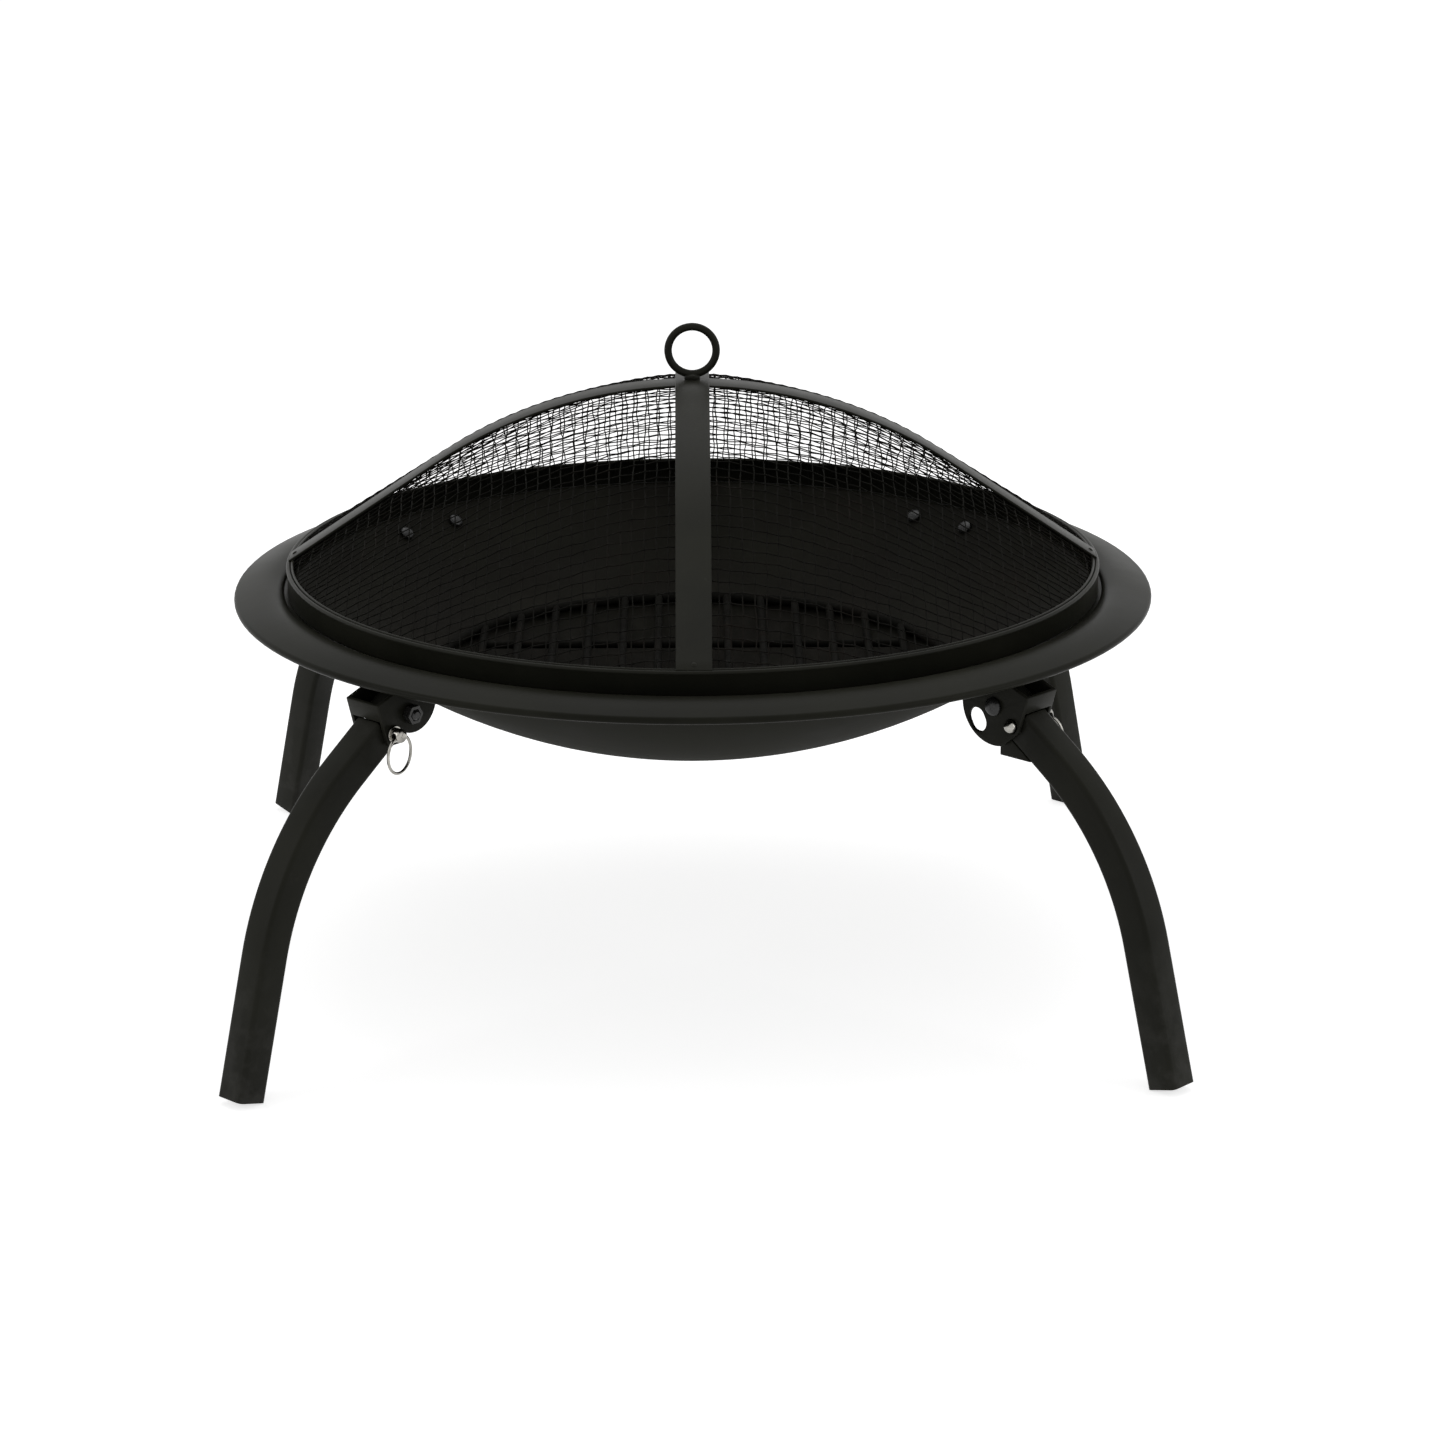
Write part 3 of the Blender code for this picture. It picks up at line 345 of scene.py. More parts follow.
# Finishes

DUST = (0.09, 0.085, 0.075)
FLOOR_DUST = (0.12, 0.11, 0.10)
SOOT = (0.0085, 0.0070, 0.0060)
HEAT_STAIN = (0.022, 0.016, 0.012)
DULL_BLOOM = (0.14, 0.135, 0.12)
RUBBED_PAINT = (0.055, 0.054, 0.049)
RUBBED_DISH = (0.085, 0.083, 0.08)
RUBBED_STEEL = (0.045, 0.044, 0.041)


class Finish:
    """A material's node tree, built from Object coordinates."""

    def __init__(self, name):
        self.material = bpy.data.materials.new(name)
        self.material.use_nodes = True
        self.tree = self.material.node_tree
        self.shader = self.tree.nodes["Principled BSDF"]
        self.place = self.tree.nodes.new("ShaderNodeTexCoord").outputs["Object"]

    def feed(self, socket, value):
        """Link a socket to another node's, or set its value."""
        if isinstance(value, bpy.types.NodeSocket):
            self.tree.links.new(value, socket)
        else:
            socket.default_value = value

    def node(self, kind, inputs=None, **values):
        """Add a node, set its options and feed its inputs."""
        node = self.tree.nodes.new(kind)
        for key, value in values.items():
            setattr(node, key, value)
        for key, value in (inputs or {}).items():
            self.feed(node.inputs[key], value)
        return node

    def noise(self, scale, detail=4.0, stretch=(1, 1, 1), rough=0.55):
        """Noise over the object, its scale in waves per metre."""
        where = self.node("ShaderNodeMapping", {"Vector": self.place, "Scale": stretch}).outputs[0]
        inputs = {"Vector": where, "Scale": scale, "Detail": detail, "Roughness": rough}
        return self.node("ShaderNodeTexNoise", inputs).outputs["Fac"]

    def ramp(self, value, low, high, start=0.0, end=1.0):
        """Map a value from one range to another, clamped."""
        inputs = {"Value": value, "From Min": low, "From Max": high, "To Min": start, "To Max": end}
        return self.node("ShaderNodeMapRange", inputs, clamp=True).outputs[0]

    def mix(self, factor, first, second):
        """Blend two colours."""
        node = self.node("ShaderNodeMix", {"Factor": factor}, data_type="RGBA")
        for socket, value in ((node.inputs[6], first), (node.inputs[7], second)):
            self.feed(socket, value if isinstance(value, bpy.types.NodeSocket) else (*value, 1.0))
        return node.outputs[2]

    def math(self, operation, first, second):
        """Work on two values."""
        return self.node("ShaderNodeMath", {0: first, 1: second}, operation=operation).outputs[0]

    def worn_edges(self, low=0.53, high=0.60):
        """Share of wear on convex edges."""
        return self.ramp(self.node("ShaderNodeNewGeometry").outputs["Pointiness"], low, high)

    def bump(self, height, distance, strength=1.0, after=None):
        """Normal bent by a height, on top of an earlier normal if there is one."""
        inputs = {"Height": height, "Distance": distance, "Strength": strength}
        if after is not None:
            inputs["Normal"] = after
        return self.node("ShaderNodeBump", inputs).outputs[0]

    def set(self, **values):
        """Set or link the shader's sockets, named with underscores."""
        for key, value in values.items():
            self.feed(self.shader.inputs[key.replace("_", " ")], value)
        return self.material


def made_once(build):
    """Make a finish's material when it is first asked for, and give the same one after that."""

    @functools.wraps(build)
    def finish():
        name = build.__name__
        return bpy.data.materials.get(name) or build(Finish(name))

    return finish


def lighter(colour, times):
    """A colour some times as bright."""
    return tuple(value * times for value in colour)


@made_once
def heat_paint(look):
    """Satin black heat paint: fine orange peel, soft smudges, dust and rubbed edges."""
    paint = tuple(settings("pit_colours").paint)
    smudge = look.noise(14, 5)
    peel = look.noise(900, 3)
    colour = look.mix(look.ramp(smudge, 0.42, 0.72, 0, 0.55), paint, lighter(paint, 1.9))
    dust = look.math("MULTIPLY", look.ramp(look.noise(160, 8, rough=0.7), 0.60, 0.80), 0.10)
    colour = look.mix(dust, colour, DUST)
    rubbed = look.math("MULTIPLY", look.worn_edges(), look.ramp(look.noise(70, 4), 0.45, 0.65, 0.1, 0.55))
    colour = look.mix(rubbed, colour, RUBBED_PAINT)
    rough = look.math("ADD", look.ramp(smudge, 0.3, 0.7, 0.31, 0.42), look.ramp(peel, 0.3, 0.7, -0.03, 0.03))
    normal = look.bump(peel, 0.00006, 0.55)
    normal = look.bump(look.noise(55, 3), 0.0002, 0.25, normal)
    return look.set(Base_Color=colour, Roughness=rough, Normal=normal, Specular_IOR_Level=0.065)


@made_once
def dish_paint(look):
    """The bowl's heat paint: as on the frame, with soot and a dusting of ash towards its bottom."""
    colours = settings("pit_colours")
    paint = tuple(colours.paint)
    sizes = settings("pit_bowl")
    mouth = sizes.mouth_diameter
    smudge = look.noise(10, 5)
    peel = look.noise(850, 3)
    colour = look.mix(look.ramp(smudge, 0.4, 0.7, 0, 0.6), paint, lighter(paint, 1.9))
    split = look.node("ShaderNodeSeparateXYZ", {"Vector": look.place}).outputs
    level = look.node("ShaderNodeCombineXYZ", {"X": split["X"], "Y": split["Y"]}).outputs[0]
    radius = look.node("ShaderNodeVectorMath", {0: level}, operation="LENGTH").outputs["Value"]
    centre = (0, 0, -ball_centre())
    from_centre = look.node("ShaderNodeVectorMath", {0: look.place, 1: centre}, operation="ADD").outputs[0]
    span = look.node("ShaderNodeVectorMath", {0: from_centre}, operation="LENGTH").outputs["Value"]
    inside = look.ramp(span, ball_radius() - sizes.sheet * 0.45, ball_radius() - sizes.sheet * 0.55)
    low = look.ramp(radius, mouth * 0.42, mouth * 0.12)
    patches = look.ramp(look.noise(26, 9, rough=0.72), 0.40, 0.68)
    ash = look.math("MULTIPLY", look.math("MULTIPLY", inside, low), patches)
    colour = look.mix(look.math("MULTIPLY", ash, 0.75), colour, tuple(colours.ash))
    soot = look.math("MULTIPLY", inside, look.ramp(look.noise(18, 6), 0.35, 0.65, 0.15, 0.6))
    colour = look.mix(soot, colour, SOOT)
    rubbed = look.math("MULTIPLY", look.worn_edges(), look.ramp(look.noise(60, 4), 0.45, 0.65, 0.0, 0.4))
    colour = look.mix(rubbed, colour, RUBBED_DISH)
    rough = look.math("ADD", look.ramp(smudge, 0.3, 0.7, 0.31, 0.42), look.math("MULTIPLY", inside, 0.30))
    within_mouth = look.ramp(radius, mouth / 2 + 0.003, mouth / 2 - 0.006)
    underside = look.math("SUBTRACT", within_mouth, inside)
    rough = look.math("ADD", rough, look.math("MULTIPLY", underside, 0.34))
    normal = look.bump(peel, 0.00006, 0.5)
    normal = look.bump(look.noise(30, 3), 0.0004, 0.2, normal)
    return look.set(Base_Color=colour, Roughness=rough, Normal=normal, Specular_IOR_Level=0.04)


@made_once
def wire_paint(look):
    """Painted wire: dark grey with lighter patches, heat stains and a fine grain."""
    base = tuple(settings("pit_colours").wire)
    colour = look.mix(look.ramp(look.noise(60, 4), 0.4, 0.7, 0, 0.7), base, lighter(base, 2.0))
    colour = look.mix(look.ramp(look.noise(22, 3), 0.55, 0.75, 0, 0.35), colour, HEAT_STAIN)
    rough = look.ramp(look.noise(300, 3), 0.3, 0.7, 0.66, 0.82)
    normal = look.bump(look.noise(1500, 2), 0.00004, 0.5)
    return look.set(Base_Color=colour, Roughness=rough, Normal=normal, Specular_IOR_Level=0.03)


@made_once
def bright_plating(look):
    """Bright plating with hairline scratches and a slightly dull bloom."""
    base = tuple(settings("pit_colours").plating)
    hairlines = look.noise(900, 2, stretch=(0.06, 1, 1))
    bloom = look.noise(120, 4)
    colour = look.mix(look.ramp(bloom, 0.45, 0.70, 0, 0.7), base, DULL_BLOOM)
    rough = look.math("ADD", look.ramp(bloom, 0.3, 0.7, 0.10, 0.22), look.ramp(hairlines, 0.5, 0.8, 0, 0.08))
    normal = look.bump(hairlines, 0.00002, 0.3)
    return look.set(Base_Color=colour, Roughness=rough, Metallic=1.0, Normal=normal)


@made_once
def blackened_steel(look):
    """Blackened bolts and nuts: dark metal with rubbed, brighter edges."""
    base = tuple(settings("pit_colours").fastener)
    grain = look.noise(700, 3)
    colour = look.mix(look.ramp(look.noise(90, 4), 0.4, 0.7, 0, 0.6), base, lighter(base, 2.2))
    colour = look.mix(look.math("MULTIPLY", look.worn_edges(0.52, 0.58), 0.5), colour, RUBBED_STEEL)
    rough = look.ramp(grain, 0.3, 0.7, 0.20, 0.34)
    return look.set(Base_Color=colour, Roughness=rough, Metallic=0.3, Normal=look.bump(grain, 0.00004, 0.4))


@made_once
def plug_plastic(look):
    """Moulded black plastic with a fine texture and floor dust at its end."""
    base = tuple(settings("pit_colours").plug)
    grain = look.noise(1600, 3)
    height = look.node("ShaderNodeSeparateXYZ", {"Vector": look.place}).outputs["Z"]
    patches = look.ramp(look.noise(200, 5), 0.4, 0.7, 0, 0.6)
    dusty = look.math("MULTIPLY", look.ramp(height, 0.008, 0.0), patches)
    colour = look.mix(dusty, base, FLOOR_DUST)
    rough = look.ramp(grain, 0.3, 0.7, 0.50, 0.66)
    return look.set(Base_Color=colour, Roughness=rough, Normal=look.bump(grain, 0.00005, 0.6))


# Bowl and grate

STEP_HEIGHT = 0.0040
STEP_FILLET = 0.0010
SHOULDER = 0.0085
FLANGE_DROP = 0.0050
FLANGE_CURVE = 1.5
HEM_RADIUS = 0.0018
GRATE_RIM_WIRE = 0.006
GRATE_WIRE = 0.005
GRATE_SPACING = 0.022
GRATE_CROSS_PLACE = 0.060
GRATE_CROSS_DROP = 0.003


def ball_radius():
    """Radius of the dish's underside."""
    sizes = settings("pit_bowl")
    return (sizes.mouth_diameter**2 / 4 + sizes.depth**2) / (2 * sizes.depth)


def ball_centre():
    """Height of the centre that the dish is round about."""
    return settings("pit_bowl").clearance + ball_radius()


def bowl_profile():
    """Middle line of the bowl's sheet as (radius, height), from the bottom to the rolled edge."""
    sizes = settings("pit_bowl")
    middle = ball_radius() - sizes.sheet / 2
    centre = ball_centre()
    ledge = sizes.clearance + sizes.depth + sizes.sheet / 2
    mouth = math.degrees(math.acos((centre - ledge) / middle))
    eased = 0.35
    path = arc((0, centre), middle, -90, -90 + mouth - eased, 26)
    path[0] = (0.0, path[0][1])
    edge = path[-1][0]
    path += [(edge + 0.0012, ledge - 0.0003), (edge + 0.0030, ledge)]
    step = sizes.mouth_diameter / 2 + sizes.ledge
    path += arc((step - STEP_FILLET, ledge + STEP_FILLET), STEP_FILLET, -90, 0, 4)
    crest = ledge + STEP_HEIGHT
    rise = STEP_HEIGHT - STEP_FILLET
    quarter = arc((0, 0), 1, 180, 90, 9)[1:]
    path += [(step + SHOULDER * (1 + x), crest - rise * (1 - z)) for x, z in quarter]
    start = step + SHOULDER
    hem_centre = sizes.rim_diameter / 2 - sizes.sheet / 2 - HEM_RADIUS
    steps = 7
    for i in range(1, steps):
        part = i / steps
        path.append((start + (hem_centre - start) * part, crest - FLANGE_DROP * part**FLANGE_CURVE))
    return path + arc((hem_centre, crest - FLANGE_DROP - HEM_RADIUS), HEM_RADIUS, 80, -150, 10)


def bowl_piece():
    """Pressed bowl: smooth dish, ledge, step, sloping flange and rolled edge in one sheet."""
    obj = lathe("bowl", bowl_profile(), 128)
    sheet = settings("pit_bowl").sheet
    apply_modifier(obj, "SOLIDIFY", thickness=sheet, offset=0, use_even_offset=True)
    smooth(obj, 40)
    finish_piece(obj, "base", dish_paint(), ["fire_bowl"])


def tube_along(points, wire, name, closed=False, sides=2):
    """A round wire through points, drawn as a curve and made a mesh."""
    deselect()
    bpy.ops.curve.primitive_bezier_curve_add()
    obj = bpy.context.object
    obj.name = name
    curve = obj.data
    curve.splines.clear()
    spline = curve.splines.new("POLY")
    spline.points.add(len(points) - 1)
    for spot, point in zip(spline.points, points):
        spot.co = (*point, 1)
    spline.use_cyclic_u = closed
    curve.bevel_depth = wire / 2
    curve.bevel_resolution = sides
    curve.use_fill_caps = not closed
    bpy.ops.object.convert(target="MESH")
    return bpy.context.object


def grate_piece():
    """Wire grate: a rim, bars from front to back and two cross wires welded under them."""
    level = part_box("charcoal_grate")[1].z - GRATE_RIM_WIRE / 2
    radius = settings("pit_bowl").grate_radius
    ring = [(x, y, level) for x, y in arc((0, 0), radius, 0, 360, 96)[:-1]]
    pieces = [tube_along(ring, GRATE_RIM_WIRE, "rim", closed=True, sides=3)]
    count = math.floor((radius - GRATE_RIM_WIRE) / GRATE_SPACING)
    for i in range(-count, count + 1):
        x = i * GRATE_SPACING
        reach = math.sqrt((radius - GRATE_WIRE / 4) ** 2 - x * x)
        pieces.append(tube_along(points_between((x, -reach, level), (x, reach, level)), GRATE_WIRE, "bar"))
    half_width = math.sqrt(radius**2 - GRATE_CROSS_PLACE**2)
    reach = math.floor(half_width / GRATE_SPACING) * GRATE_SPACING + GRATE_WIRE / 2
    for y in (-GRATE_CROSS_PLACE, GRATE_CROSS_PLACE):
        ends = [(x, y, level - GRATE_CROSS_DROP) for x in (-reach, reach)]
        pieces.append(tube_along(points_between(*ends), GRATE_WIRE, "cross"))
    obj = merge(pieces, "grate_wires")
    smooth(obj, 50)
    finish_piece(obj, "grate", wire_paint(), ["charcoal_grate"])


# Leg corners
# Each is modelled out along X, with its pivot bolt along Y, and then turned to its place.

PIVOT = Vector((0.251, 0, 0.207))
PIVOT_HOLE = 0.0066
PIVOT_BOLT = 0.006
PIVOT_HEAD = 0.011
PIVOT_HEAD_HEIGHT = 0.0032
PIVOT_BOLT_SPARE = 0.0060
LOCK_OFFSET = 0.016

HALF_CHANNEL = 0.011
PLATE_RADIUS = 0.0238
PLATE_ARC_END = -75.0
PLATE_ARC_STEPS = 22
PLATE_LOW_ANGLE = 32.0
PLATE_TOP = 0.0095
PLATE_OUT = 0.0245
PLATE_ROUNDING = 0.00045
EDGE_LEAN = math.tan(math.radians(16))
SHORT_PLATE_RADIUS = 0.0115
SHORT_PLATE_FALL = 1.6
PIN_LAND = 0.0068
PIN_LAND_CHAMFER = 0.0017
SLOT_LENGTH = 0.0145
SLOT_WIDTH = 0.0115
SLOT_TILT = -62.0
SLOT_TURN = 103.5
WEB_HEIGHT = 0.0110
EAR_RADIUS = 0.235
EAR_REACH = 0.0165
BOLT = 0.005
BOLT_HOLE = 0.0056
BOLT_HEAD = 0.0095
BOLT_HEAD_HEIGHT = 0.0026
BOLT_SPARE = 0.0080
BOLT_SEAT = 0.0009
BOLT_SPACING = 0.0434

LEG_END = 0.011
LEG_STRAIGHT = 0.030
LEG_BEND_STEPS = 20
TRACK_END = 60.0
HEEL = Vector((0.0024, 0, -0.0295))
HEEL_SHEET = 0.0025
HEEL_PROUD = 0.0001

PIN_TIP = 0.0045
PIN_SHOULDER_RADIUS = 0.0050
PIN_SHOULDER_HEIGHT = 0.0012
PIN_HEAD = 0.0060
RING_HOLE = 0.0040
RING_TURN = 12.0
RING_JOINT = 0.001
RING_JOINT_FLATTENED = 0.86


def tube_direction():
    """Way down the straight upper stretch of a leg."""
    slope = settings("pit_legs").slope
    return Vector((math.cos(slope), 0, -math.sin(slope)))


def lock_point():
    """Place of the lock pin's axis in the middle plane of a leg."""
    return PIVOT + tube_direction() * LOCK_OFFSET


def ear_frame():
    """Point on the ears' upper plane, the way down from it, the way up along it and its slope."""
    angle = math.asin(EAR_RADIUS / ball_radius())
    down = Vector((math.sin(angle), 0, -math.cos(angle)))
    along = Vector((math.cos(angle), 0, math.sin(angle)))
    return Vector((0, 0, ball_centre())) + down * (ball_radius() + GAP), down, along, angle


def bracket_edge():
    """Places on a bracket's edge: the outer side's low and top ends, the ridge, and the ears' end."""
    sheet = settings("pit_legs").plate
    bowl = settings("pit_bowl")
    top_point, down, along, angle = ear_frame()
    top = PIVOT + Vector((PLATE_OUT, 0, PLATE_TOP))
    low = PIVOT.z - PLATE_RADIUS * math.sin(math.radians(PLATE_LOW_ANGLE))
    lowest = Vector((top.x - (top.z - low) * EDGE_LEAN, 0, low))
    height = bowl.clearance + bowl.depth - sheet
    ridge = Vector((top_point.x + (height - top_point.z) / math.tan(angle), 0, height))
    from_pivot = top_point - PIVOT
    away = from_pivot.dot(-down)
    end = top_point + along * (-math.sqrt(PLATE_RADIUS**2 - away**2) - from_pivot.dot(along))
    return lowest, top, ridge, end


def flat(points):
    """The (x, z) of some places."""
    return [(point.x, point.z) for point in points]


def arc_start(end):
    """Angle of the ears' end as seen from the pivot, in degrees."""
    return math.degrees(math.atan2(end.z - PIVOT.z, end.x - PIVOT.x)) % 360 - 360


def slotted_outline():
    """Plate with the slot: straight along the bowl, round about the pivot below."""
    lowest, top, ridge, end = bracket_edge()
    below = arc((PIVOT.x, PIVOT.z), PLATE_RADIUS, arc_start(end), PLATE_ARC_END, PLATE_ARC_STEPS)
    return flat((lowest, top, ridge)) + below


def short_outline():
    """Plate by the ring: it draws in under the pivot and drops round the pin."""
    lowest, top, ridge, end = bracket_edge()
    pin = lock_point()
    land = pin.z - PIN_LAND
    outline = [(lowest.x - (lowest.z - land) * EDGE_LEAN, land), *flat((top, ridge, end))]
    start = arc_start(end)
    for i in range(1, PLATE_ARC_STEPS + 1):
        part = i / PLATE_ARC_STEPS
        turn = math.radians(start + (PLATE_ARC_END - start) * part)
        reach = SHORT_PLATE_RADIUS + (PLATE_RADIUS - SHORT_PLATE_RADIUS) * (1 - part) ** SHORT_PLATE_FALL
        outline.append((PIVOT.x + reach * math.cos(turn), PIVOT.z + reach * math.sin(turn)))
    inner = pin.x - PIN_LAND
    outline += [(inner, outline[-1][1]), (inner, land + PIN_LAND_CHAMFER)]
    return outline + [(inner + PIN_LAND_CHAMFER, land)]


def slot_outline():
    """Wide slot that takes the lock pin when the leg is folded."""
    folded = -settings("pit_legs").slope - math.radians(SLOT_TURN)
    middle = PIVOT + Vector((math.cos(folded), 0, math.sin(folded))) * LOCK_OFFSET
    tilt = math.radians(SLOT_TILT)
    shift = Vector((math.cos(tilt), 0, math.sin(tilt))) * (SLOT_LENGTH - SLOT_WIDTH) / 2
    (far,) = flat([middle + shift])
    (near,) = flat([middle - shift])
    outline = arc(far, SLOT_WIDTH / 2, SLOT_TILT - 90, SLOT_TILT + 90, 14)
    return outline + arc(near, SLOT_WIDTH / 2, SLOT_TILT + 90, SLOT_TILT + 270, 14)


def web_plate(half):
    """Sloping plate across the outer edges of the side plates."""
    sheet = settings("pit_legs").plate
    lowest, top, _, _ = bracket_edge()
    slant = (top - lowest).normalized()
    across = Vector((slant.z, 0, -slant.x))
    corner = top + across * GAP
    inner = corner - across * sheet
    points = [corner, inner, inner - slant * WEB_HEIGHT, corner - slant * WEB_HEIGHT]
    web = plate("web", flat(points), GAP - half, half - GAP)
    soften(web, 0.0006)
    return web


def ear_plate(side, half):
    """One ear under the bowl, drilled for its bolt."""
    sheet = settings("pit_legs").plate
    top_point, down, _, _ = ear_frame()
    _, _, ridge, end = bracket_edge()
    sides = sorted((side * (HALF_CHANNEL + GAP), side * (half + EAR_REACH)))
    ear = plate("ear", flat([ridge, end, end + down * sheet, ridge + down * sheet]), *sides)
    hole = top_point + Vector((0, side * BOLT_SPACING / 2, 0)) - down * sheet
    cut(ear, rod(BOLT_HOLE, hole, down, 4 * sheet))
    soften(ear, PLATE_ROUNDING)
    return ear


def bracket_piece():
    """Leg bracket: slotted side plate, shorter plate by the ring, sloping web and two bolted ears."""
    sizes = settings("pit_legs")
    half = HALF_CHANNEL + sizes.plate
    slotted = plate("slotted", slotted_outline(), -half, -HALF_CHANNEL)
    short = plate("short", short_outline(), HALF_CHANNEL, half)
    cut(slotted, plate("slot", slot_outline(), -2 * half, 0))
    for side in (slotted, short):
        for middle, hole in ((PIVOT, PIVOT_HOLE), (lock_point(), sizes.pin + 2 * GAP)):
            cut(side, rod(hole, middle - Vector((0, 2 * half, 0)), (0, 1, 0), 4 * half))
        soften(side, PLATE_ROUNDING)
    return merge([slotted, short, web_plate(half), ear_plate(-1, half), ear_plate(1, half)], "bracket")


def leg_stations():
    """Matrices across the tube, from its upper end to its foot."""
    sizes = settings("pit_legs")
    foot = Vector((sizes.foot_radius, 0, 0))
    lower = Vector((math.sin(sizes.lean), 0, -math.cos(sizes.lean)))
    upper = tube_direction()
    gap = foot - PIVOT
    length = (gap.x * lower.z - gap.z * lower.x) / (upper.x * lower.z - upper.z * lower.x)
    knee = PIVOT + upper * length
    turn = math.radians(90) - sizes.lean - sizes.slope
    start = knee - upper * sizes.bend * math.tan(turn / 2)
    centre = start - Vector((-upper.z, 0, upper.x)) * sizes.bend
    places = [(PIVOT + upper * along, sizes.slope) for along in (-LEG_END, LEG_STRAIGHT)]
    for i in range(LEG_BEND_STEPS + 1):
        slope = sizes.slope + turn * i / LEG_BEND_STEPS
        places.append((centre + Vector((math.sin(slope), 0, math.cos(slope))) * sizes.bend, slope))
    end = foot - lower * sizes.tube / 2 * math.tan(sizes.lean)
    places.append((end, math.radians(90) - sizes.lean))
    quarter = math.radians(90)
    return [Matrix.Translation(point) @ Matrix.Rotation(quarter + slope, 4, "Y") for point, slope in places]


def bent_tube():
    """Square tube with round corners along the leg's stations, open at both ends."""
    sizes = settings("pit_legs")
    deselect()
    bpy.ops.mesh.primitive_plane_add(size=sizes.tube)
    obj = bpy.context.object
    edit(obj)
    bpy.ops.mesh.select_all(action="SELECT")
    bpy.ops.mesh.bevel(offset=sizes.tube_corner, segments=5, affect="VERTICES")
    stations = leg_stations()
    bm = bmesh.from_edit_mesh(obj.data)
    for vert in bm.verts:
        vert.co = stations[0] @ vert.co
    for last, station in zip(stations, stations[1:]):
        bpy.ops.mesh.extrude_region_move(TRANSFORM_OT_translate={"value": (0, 0, 0)})
        bm = bmesh.from_edit_mesh(obj.data)
        step = station @ last.inverted()
        for vert in bm.verts:
            if vert.select:
                vert.co = step @ vert.co
        bmesh.update_edit_mesh(obj.data)
    bm = bmesh.from_edit_mesh(obj.data)
    pick(bm, lambda face: len(face.verts) > 4, "faces")
    bpy.ops.mesh.delete(type="FACE")
    bpy.ops.mesh.select_all(action="SELECT")
    bpy.ops.mesh.normals_make_consistent(inside=False)
    apply_modifier(obj, "SOLIDIFY", thickness=sizes.tube_wall, offset=-1, use_even_offset=True)
    return obj


def track_outline():
    """Path that is cut in the tube, so that it folds past the lock pin."""
    sizes = settings("pit_legs")
    reach = sizes.pin / 2 + GAP
    centre = (PIVOT.x, PIVOT.z)
    slope = math.degrees(sizes.slope)
    pin = lock_point()
    outline = arc(centre, LOCK_OFFSET + reach, -slope, TRACK_END, 20)
    outline += arc(centre, LOCK_OFFSET - reach, TRACK_END, -slope, 20)
    return outline + arc((pin.x, pin.z), reach, 180 - slope, 360 - slope, 12)[1:-1]


def heel_lug():
    """Flat lug on the tube's side that comes to a point below its upper end."""
    sizes = settings("pit_legs")
    upper = tube_direction()
    up = Vector((-upper.z, 0, upper.x))
    under = PIVOT - up * (sizes.tube - sizes.tube_wall) / 2
    heel = PIVOT + HEEL
    beside = under + upper * ((heel.z - under.z) / upper.z)
    above = under + upper * ((heel.x - under.x) / upper.x)
    side = -HEEL_PROUD - sizes.tube / 2
    lug = plate("lug", flat((heel, beside, above)), side, side + HEEL_SHEET)
    soften(lug, 0.0004)
    return lug


def leg_piece():
    """Bent square tube with round corners, a heel lug, its pivot hole and the pin's track."""
    through = 2 * settings("pit_legs").tube
    tube = bent_tube()
    cut(tube, rod(PIVOT_HOLE, PIVOT - Vector((0, through / 2, 0)), (0, 1, 0), through))
    cut(tube, plate("track", track_outline(), -through / 2, through / 2))
    smooth(tube, 30)
    return merge([tube, heel_lug()], "leg")


def dome_bolt(diameter, head, height, length):
    """Domed bolt with its head below the origin and its shank up the vertical, chamfered at its end."""
    edge = height / 3
    rounding = 0.0002
    crown = arc((0, 0), 1, 0, 90, 8)
    dome = [(x * head / 2, -edge - z * (height - edge)) for x, z in reversed(crown)]
    dome[0] = (0.0, dome[0][1])
    radius = diameter / 2
    profile = dome + [(head / 2, -rounding), (head / 2 - rounding, 0), (radius, 0)]
    profile += [(radius, length - radius / 3), (radius * 2 / 3, length), (0, length)]
    bolt = lathe("bolt", profile, 32)
    smooth(bolt, 40)
    return bolt


def pivot_bolt_piece():
    """Pivot bolt across a bracket, with its head on the slotted plate."""
    half = HALF_CHANNEL + settings("pit_legs").plate + GAP
    bolt = dome_bolt(PIVOT_BOLT, PIVOT_HEAD, PIVOT_HEAD_HEIGHT, 2 * half + PIVOT_BOLT_SPARE)
    return point_along(bolt, PIVOT - Vector((0, half, 0)), (0, 1, 0))


def bracket_bolt_piece(side):
    """Bracket bolt on one side of a corner, with its head inside the dish."""
    top_point, down, _, _ = ear_frame()
    inside = ball_radius() - settings("pit_bowl").sheet
    reach = (BOLT_SPACING + BOLT_HEAD) / 2
    seat = math.sqrt(inside**2 - reach**2) - ball_radius() - BOLT_SEAT
    bolt = dome_bolt(BOLT, BOLT_HEAD, BOLT_HEAD_HEIGHT, BOLT_SPARE - seat)
    return point_along(bolt, top_point + Vector((0, side * BOLT_SPACING / 2, 0)) + down * seat, down)


